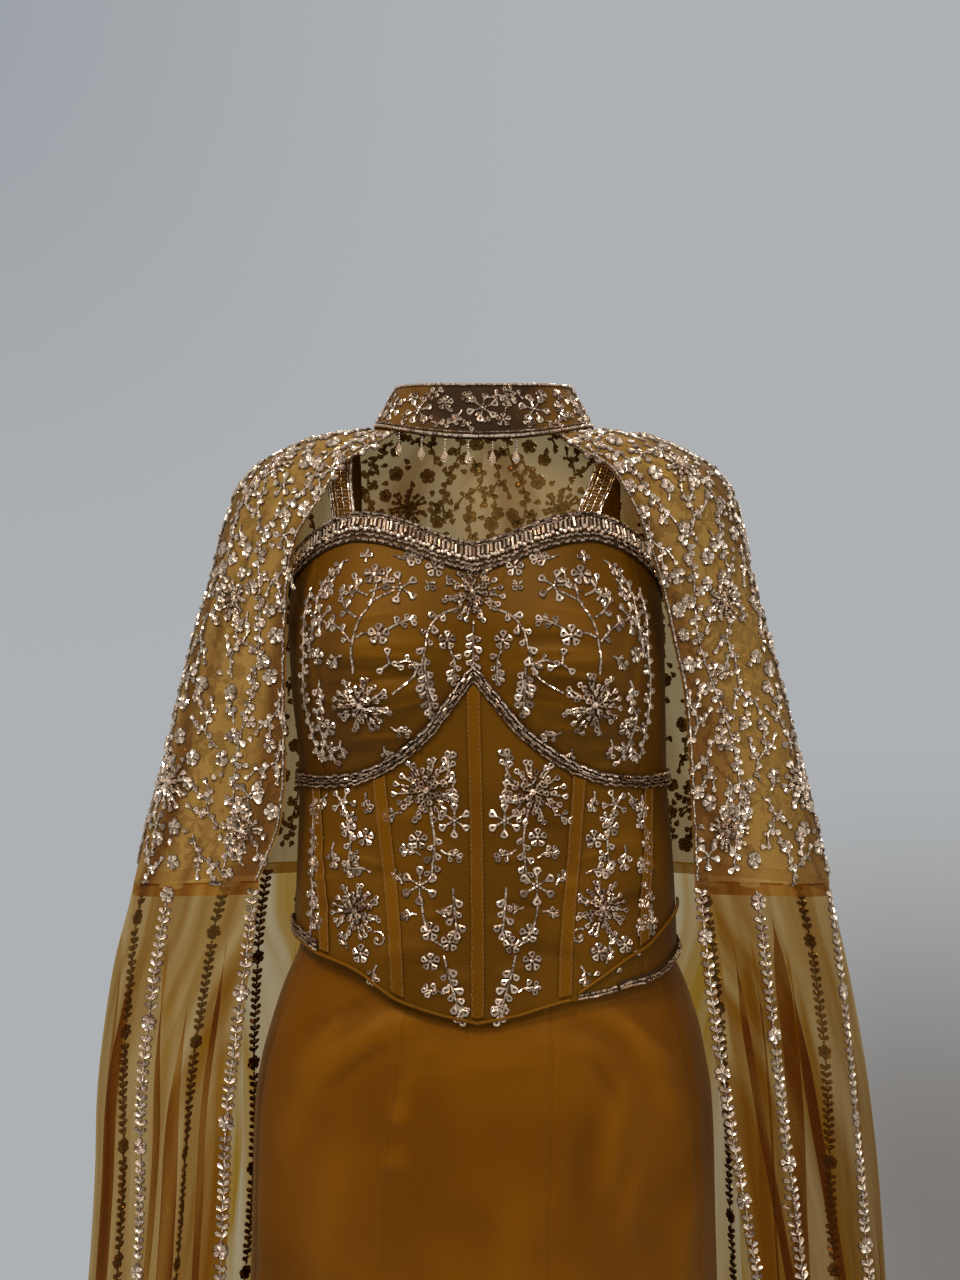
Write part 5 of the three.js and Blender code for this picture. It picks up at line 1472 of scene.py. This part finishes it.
def make_yoke_beads():
    kinds = [(branch, 36, 0.9), (flower, 21, 1.15), (star, 18, 0.95), (flower, 14.5, 1.0),
             (sprig_up, 11.5, 0.9), (one_loop, 6.5, 0.95)]
    on = SURFACES["yoke"]
    for name, seed in (("left", 31), ("right", 32)):
        beads = Beadwork(seed, plain=True)
        side = (lambda share: share) if name == "left" else (lambda share: 1 - share)
        taken = []
        for n, (top, low, start, end) in enumerate(YOKE_VINES):
            def line(t, top=top, low=low, start=start, end=end, n=n):
                down = mix(start, end, t)
                return side(mix(top, low, down) + 0.007 * np.sin(down * 17 + 2 * n)), down

            row_on(beads, on, line, 0.02, 0.98, 2.8, "bugle", 2.4, 1.6, 1.4, 0.2)
            a, b = line(np.linspace(0.02, 0.98, 90))
            points = on["at"](a, b)
            taken += [[*p, 3.0] for p in points[::3]]
            run = run_along(points)
            count = int(run[-1] / 8)
            for k in range(count):
                at = (k + 0.5) / count * run[-1]
                pick = int(np.searchsorted(run, at))
                way = 1 if (k + n) % 2 else -1
                kind = (k * 3 + n) % 7
                if kind == 1:
                    motif = trefoil(0, 0, -90 + way * 55, 6)
                elif kind == 4:
                    motif = flower(way * 6, -2, 8.5)
                else:
                    motif = loop(0, 0, -90 + way * 46, 6.4, 4.7) + loop(0, 2, -90 - way * 50, 5.6, 4.2)
                beads.lay_motif(on, a[pick], b[pick], motif)
        for n, (share, down, size) in enumerate(YOKE_BURSTS):
            beads.lay_motif(on, side(share), down, burst(0, 0, size, 17, 20 * n))
            taken.append([*yoke(side(share), down), size * 0.95])
        low, high = sorted((side(0.012), side(0.495)))
        scatter(beads, on, low, high, 0.03, 0.975, kinds, seed, 5000, np.vstack(taken))
        edge = side(0.0065)
        row_on(beads, on, lambda t: (np.full_like(t, edge), t), 0.0, 1, 2.8, "bugle", 2.4, 1.5, 1.5, 0.3)
        beads.make(f"yoke_beads_{name}", PALE_CRYSTAL)


# Share of the way round at the seam and lower down
STRIPES = [
    (0.008, 0.008), (0.056, 0.041), (0.132, 0.093), (0.205, 0.212), (0.297, 0.3), (0.365, 0.366),
    (0.43, 0.431), (0.569, 0.57), (0.634, 0.635), (0.7, 0.699), (0.738, 0.762), (0.83, 0.828),
    (0.916, 0.926), (0.992, 0.992),
]
STRIPE_PAIR = 0.0061


def make_stripes():
    on = SURFACES["drape"]
    for name, stripes in (("left", STRIPES[:7]), ("right", STRIPES[7:])):
        beads = Beadwork(41 if name == "left" else 42, plain=True)
        for n, (top, low) in enumerate(stripes):
            def share(down):
                return mix(top, low, smooth(0, 0.3, down))

            def line(t):
                down = mix(0.006, 0.994, t)
                return share(down), down

            row_on(beads, on, line, 0, 1, 3.0, "bugle", 2.4, 1.5, 1.4, 0.2)
            for k in range(int(0.985 / STRIPE_PAIR)):
                down = 0.008 + STRIPE_PAIR * k
                step = (k + 4 * n) % 15
                sway = 8 * math.sin(2.3 * k + n)
                if step == 5:
                    motif = flower(0, 0, 9.5, 6, 17 * k)
                elif step not in (4, 6):
                    motif = loop(0.4, -2.4, 44 + sway, 6.2, 3.2) + loop(-0.4, -2.0, 136 + sway, 6.2, 3.2)
                else:
                    continue
                beads.lay_motif(on, float(share(down)), down, motif)
        beads.make(f"stripe_beads_{name}", PALE_CRYSTAL)


# Embroidery of the bodice, on both sides. Each row gives x from the centre front, z, and a motif.
BODICE_MOTIFS = [
    (86, -217, burst(0, 0, 21.5)), (40, -281, burst(0, 0, 22.5)), (92, -371, burst(0, 0, 19.5)),
    (22, -169, flower(0, 0, 9.5)), (77, -120, flower(0, 0, 11)), (70, -164, flower(0, 0, 11)),
    (30, -114, flower(0, 0, 9.5)), (111, -233, flower(0, 0, 9)), (56, -129, star(0, 0, 14, 5, 75)),
    (114, -153, star(0, 0, 14, 5, 60)), (64, -184, star(0, 0, 12, 3, 200)),
    (80, -107, trefoil(0, -3, 90, 6)), (32, -128, trefoil(4, 4, 225, 5.6)),
    (52, -107, sprig(9, 1, 190, 15)), (100, -112, sprig(-6, 4, -40, 13)),
    (108, -126, sprig(-3, 5, -70, 13)), (96, -138, sprig(-6, 0, 30, 11)),
    (104, -182, sprig(-6, 3, -30, 12)), (58, -236, sprig(6, 3, 200, 12)),
    (70, -251, sprig(0, 5, -110, 10)), (100, -247, sprig(0, 4, -80, 11)),
    (116, -205, sprig(-2, 6, -75, 14)), (118, -180, flower(0, 0, 8.5)),
    (118, -250, sprig(-4, 4, -60, 10)), (19, -304, star(0, 0, 13.5, 6)), (44, -316, flower(0, 0, 9.5)),
    (44, -351, star(0, 0, 15, 6)), (37, -385, flower(0, 0, 9.5)), (23, -394, flower(0, 0, 9)),
    (37, -407, flower(0, 0, 9.5)), (22, -262, sprig(2, -9, 100, 15)), (17, -276, sprig(1, 4, -80, 12)),
    (62, -300, sprig(-6, 2, -20, 11)), (22, -326, sprig(6, 3, 200, 12)), (47, -330, sprig(-5, 0, 20, 12)),
    (60, -348, sprig(-4, -3, 50, 9)), (50, -372, sprig(-5, 1, -10, 9)), (30, -368, sprig(4, 0, 190, 8)),
    (33, -430, sprig(-6, 0, 15, 12)), (103, -291, star(0, 0, 12, 5, 40)), (100, -311, flower(0, 0, 9.5)),
    (86, -317, flower(0, 0, 9.5)), (84, -287, sprig(2, 5, -100, 11)), (88, -341, sprig(-9, -2, 8, 16)),
    (110, -330, sprig(0, 8, -95, 14)), (76, -391, curl(0, 0, 11, 60, 1)), (89, -402, flower(0, 0, 9.5)),
    (76, -417, sprig(0, 5, -75, 11)), (100, -396, sprig(-2, -4, 60, 10)), (126, -297, flower(0, 0, 9)),
    (126, -318, sprig(0, 6, -90, 13)), (125, -340, flower(0, 0, 9)), (126, -360, sprig(0, 6, -90, 14)),
    (125, -384, flower(0, 0, 9)), (112, -286, sprig(2, 2, -60, 10)), (12, -440, trefoil(0, 5, -80, 7)),
]
# Between the left piping and the hem
HEM_MOTIFS = [
    (109, -398, flower(0, 0, 9)), (97, -408, sprig(-3, -3, 60, 8)), (121, -389, sprig(-2, -4, 70, 9)),
    (84, -419, loop(0, 0, 20, 5.5, 4)), (116, -404, loop(0, 0, -20, 5.5, 4)),
    (131, -384, flower(0, 0, 8)), (102, -418, loop(0, 0, 30, 5, 4)),
]
# Curves of the bodice by x from the centre front and z, and how each is beaded.
BODICE_CURVES = [
    (spray, [(9, -144), (25, -149), (35, -160), (38, -174), (41, -187)], dict(pairs=4, size=6.2, first=0.28)),
    (stem, [(41, -187), (48, -197), (63, -208)], {}),
    (spray, [(38, -184), (37, -200), (34, -219)], dict(pairs=5, size=7, first=0.2)),
    (spray, [(20, -175), (16, -184), (16, -196)], dict(pairs=3, size=5.6, first=0.3)),
    (spray, [(40, -186), (50, -183), (56, -184)], dict(pairs=1, size=5, first=0.4)),
    (stem, [(90, -194), (90, -174), (87, -156), (79, -141), (77, -126)], {}),
    (spray, [(89, -170), (99, -161), (108, -156)], dict(pairs=2, size=5.6, first=0.3)),
    (stem, [(88, -166), (82, -163), (76, -163)], {}),
    (spray, [(64, -160), (57, -156), (49, -153)], dict(pairs=2, size=5.4, first=0.4)),
    (stem, [(79, -142), (70, -136), (60, -131)], {}),
    (spray, [(85, -152), (94, -147), (100, -141)], dict(pairs=1, size=6, first=0.6)),
    (spray, [(78, -136), (88, -131), (91, -124)], dict(pairs=1, size=6, first=0.6)),
    (spray, [(78, -133), (68, -128), (66, -119)], dict(pairs=1, size=5.4, first=0.6)),
    (vine, [(129, -128), (132, -150), (130, -176), (133, -206), (130, -236), (127, -258)], dict(spacing=5.6)),
    (vine, [(112, -116), (121, -134), (120, -156), (124, -178)], dict(spacing=6)),
    (vine, [(110, -214), (119, -226), (116, -246), (110, -262)], dict(spacing=6)),
    (spray, [(36, -296), (33, -318), (35, -343)], dict(pairs=3, size=6, first=0.45)),
    (spray, [(20, -352), (19, -366), (17, -384)], dict(pairs=3, size=6.4, first=0.3)),
    (stem, [(44, -360), (42, -374), (38, -386)], {}),
    (spray, [(27, -402), (21, -424), (14, -446)], dict(pairs=5, size=6.6, first=0.25)),
    (stem, [(37, -390), (30, -394), (25, -396)], {}),
    (vine, [(108, -286), (100, -300), (96, -322), (98, -345)], dict(spacing=6.8)),
    (vine, [(127, -284), (129, -320), (127, -356), (127, -396)], dict(spacing=8)),
]


def azimuth_at(x, z, back=False):
    """Azimuth of the bodice at x and z, in front or at the back."""
    turns = np.linspace(90, 180, 400) if back else np.linspace(0, 90, 400)
    turns = turns if x >= 0 else -turns
    xs = bodice(turns, np.full(400, float(z)))[:, 0]
    return float(turns[np.argmin(np.abs(xs - x))])


def lay_seen(beads, x, z, motif, flip, back=False):
    """Lays a motif at x from the centre, as seen from the front."""
    middle = float(BODICE_RINGS.read("middle", z)) + 2
    azimuth = azimuth_at(middle + flip * x, z, back)
    beads.lay_motif(SURFACES["bodice"], azimuth, z, motif, flip=flip * (-1 if back else 1), lift=0.1)


def make_bodice_beads():
    beads = Beadwork(51)
    random = np.random.default_rng(SEED)
    lay_seen(beads, 0.01, -133, burst(0, 0, 20.5), 1)
    lay_seen(beads, 0.01, -170, spray([(0, 16), (0, -16)], 4, 6, 0.3), 1)
    for flip in (1, -1):
        for x, z, motif in BODICE_MOTIFS:
            shift = random.uniform(-1.6, 1.6, 2)
            lay_seen(beads, x + shift[0], z + shift[1], motif, flip)
        for make, path, options in BODICE_CURVES:
            x, z = np.mean(path, axis=0)
            lay_seen(beads, x, z, make([(px - x, pz - z) for px, pz in path], **options), flip)
    for x, z, motif in HEM_MOTIFS:
        lay_seen(beads, x, z, motif, 1)
    beads.make("bodice_beads_front", CRYSTAL)
    beads = Beadwork(52, plain=True)
    kinds = [(burst, 64, 0.95), (flower, 30, 1.1), (star, 26, 0.95), (sprig_up, 20, 0.95),
             (one_loop, 13, 0.95)]
    for first, last in ((97, 136), (145, 179), (181, 215), (224, 263)):
        scatter(beads, SURFACES["bodice"], first, last, -388, -155, kinds, first, 500)
    beads.make("bodice_beads_back", CRYSTAL)


def make_drops():
    """Drops of glass on short threads of beads, inside the collar's lower edge."""
    turns = np.linspace(-80, 80, 1200)
    edge = collar(turns, 0.0)
    sides, sizes = 8, [(0, 0.5), (-2.2, 1.5), (-5.2, 2.8), (-7.6, 2.9), (-9.6, 1.6), (-10.5, 0.3)]
    around = np.linspace(0, 2 * np.pi, sides, endpoint=False)
    caps = np.array([np.arange(sides), ((len(sizes) - 1) * sides + np.arange(sides))[::-1]])
    points, walls, ends = [], [], []
    threads = Beadwork(71)
    for k in range(6):
        azimuth = float(np.interp(-65.5 + 18.8 * k, edge[:, 0], turns))
        root = collar(azimuth, 0.0)
        root = root + (np.array([COLLAR_CENTRE, 0, root[2]]) - root) * 0.045 - np.array([0, 0, 1.5])
        down = np.array([0.0, 0.0, -1.0])
        place = root + down * np.linspace(1.2, 7.2, 4)[:, None]
        front = unit(np.array([root[0] * 0.3, -1.0, 0.0]))
        for facing in (front, -front):
            threads.keep(place, np.tile(down, (4, 1)), np.tile(facing, (4, 1)), "pearl", 2.0, 1.5, 0.8, 0.0,
                         0.8)
        start = k * len(sizes) * sides
        for drop, radius in sizes:
            ring = np.stack([np.cos(around + 0.3 * k), np.sin(around + 0.3 * k), 0 * around], -1) * radius
            points.append(root + down * 7.6 + ring + [0, 0, drop])
        walls.append(start + ring_quads(len(sizes), sides)[:, ::-1])
        ends.append(start + caps)
    faces = [np.vstack(walls), np.vstack(ends)]
    obj = make_object("collar_drops_glass", np.vstack(points), faces, DROP_GLASS, smooth_shading=False)
    settle(obj, "glass_drops", "collar_drops")
    threads.make("collar_drop_threads", CRYSTAL)


make_bodice()
make_bones()
make_bands()
make_band_beads()
make_piping()
make_straps()
make_skirt()
make_cape()
make_collar()
make_yoke_beads()
make_stripes()
make_bodice_beads()
make_drops()


# Floor, light and camera

def area_light(name, place, target, size, energy, color):
    light = bpy.data.lights.new(name, "AREA")
    light.shape, light.size, light.energy, light.color = "DISK", size, energy, color
    obj = bpy.data.objects.new(name, light)
    obj.location = place
    direction = [t - p for t, p in zip(target, place)]
    obj.rotation_mode = "QUATERNION"
    obj.rotation_quaternion = Vector(direction).to_track_quat("-Z", "Y")
    bpy.context.scene.collection.objects.link(obj)


def make_floor():
    radius, z, corners = 1850, -1446.0, 96
    turns = np.linspace(0, 2 * np.pi, corners, endpoint=False)
    rim = np.column_stack([np.cos(turns) * radius, np.sin(turns) * radius, np.full(corners, z)])
    ground = Material("floor", Roughness=0.7)
    shade = ground.noise(ground.place(), 3.0, 2.0)
    ground.feed(Base_Color=ground.blend(shade, (0.56, 0.6, 0.62), (0.62, 0.66, 0.68)))
    floor = make_object("floor", rim, [np.arange(corners)[None]], ground.material)


def make_room():
    """A pale wall all round, darker behind the gown: a painted shadow of the gown at the lower right, and
    painted shade at the upper left.
    """
    world = bpy.data.worlds.new("room")
    m = Nodes(world)
    direction = m.node("TexCoord", out="Generated")
    x, y, z = (m.part(direction, axis) for axis in "XYZ")
    behind = m.between(y, 0.6, 0.88)
    wall = (0.425, 0.44, 0.455)
    # A painted shadow of the gown at the lower right, then painted shade at the upper left
    for across, upward, color in (((0.07, 0.25), (-0.05, -0.32), (0.2, 0.187, 0.175)),
                                  ((0.05, -0.36), (-0.05, 0.4), (0.32, 0.353, 0.384))):
        wall = m.blend(m.between(x, *across) * m.between(z, *upward) * behind, wall, color)
    sky = m.own("BACKGROUND")
    m.set(sky.inputs["Color"], wall)
    m.set(sky.inputs["Strength"], 1.0)
    bpy.context.scene.world = world


def light_room():
    area_light("key", (-0.9, -1.9, 1.9), (0, 0, -0.3), 0.7, 70, (1.0, 0.98, 0.94))
    area_light("fill", (1.9, -2.0, 0.6), (0, 0, -0.4), 1.4, 14, (0.92, 0.96, 1.0))
    area_light("sparkle_left", (-0.5, -2.4, 1.1), (0, -0.1, -0.3), 0.1, 12, (1.0, 0.98, 0.95))
    area_light("sparkle_right", (0.7, -2.1, 1.5), (0, -0.1, -0.3), 0.1, 14, (1.0, 0.99, 0.97))
    area_light("rim", (0.9, 2.2, 1.4), (0, 0, -0.3), 1.2, 24, (1.0, 0.98, 0.95))


def make_camera():
    distance, height, seen_height = 1.3, -0.168, 1.024
    camera = bpy.data.cameras.new("camera")
    camera.sensor_width = 36
    camera.lens = camera.sensor_width * distance / seen_height
    obj = bpy.data.objects.new("camera", camera)
    obj.location = (0, -distance, height)
    obj.rotation_euler = (math.pi / 2, 0, 0)
    bpy.context.scene.collection.objects.link(obj)
    bpy.context.scene.camera = obj


make_floor()
make_room()
light_room()
make_camera()
bpy.context.scene.view_settings.view_transform = "Standard"
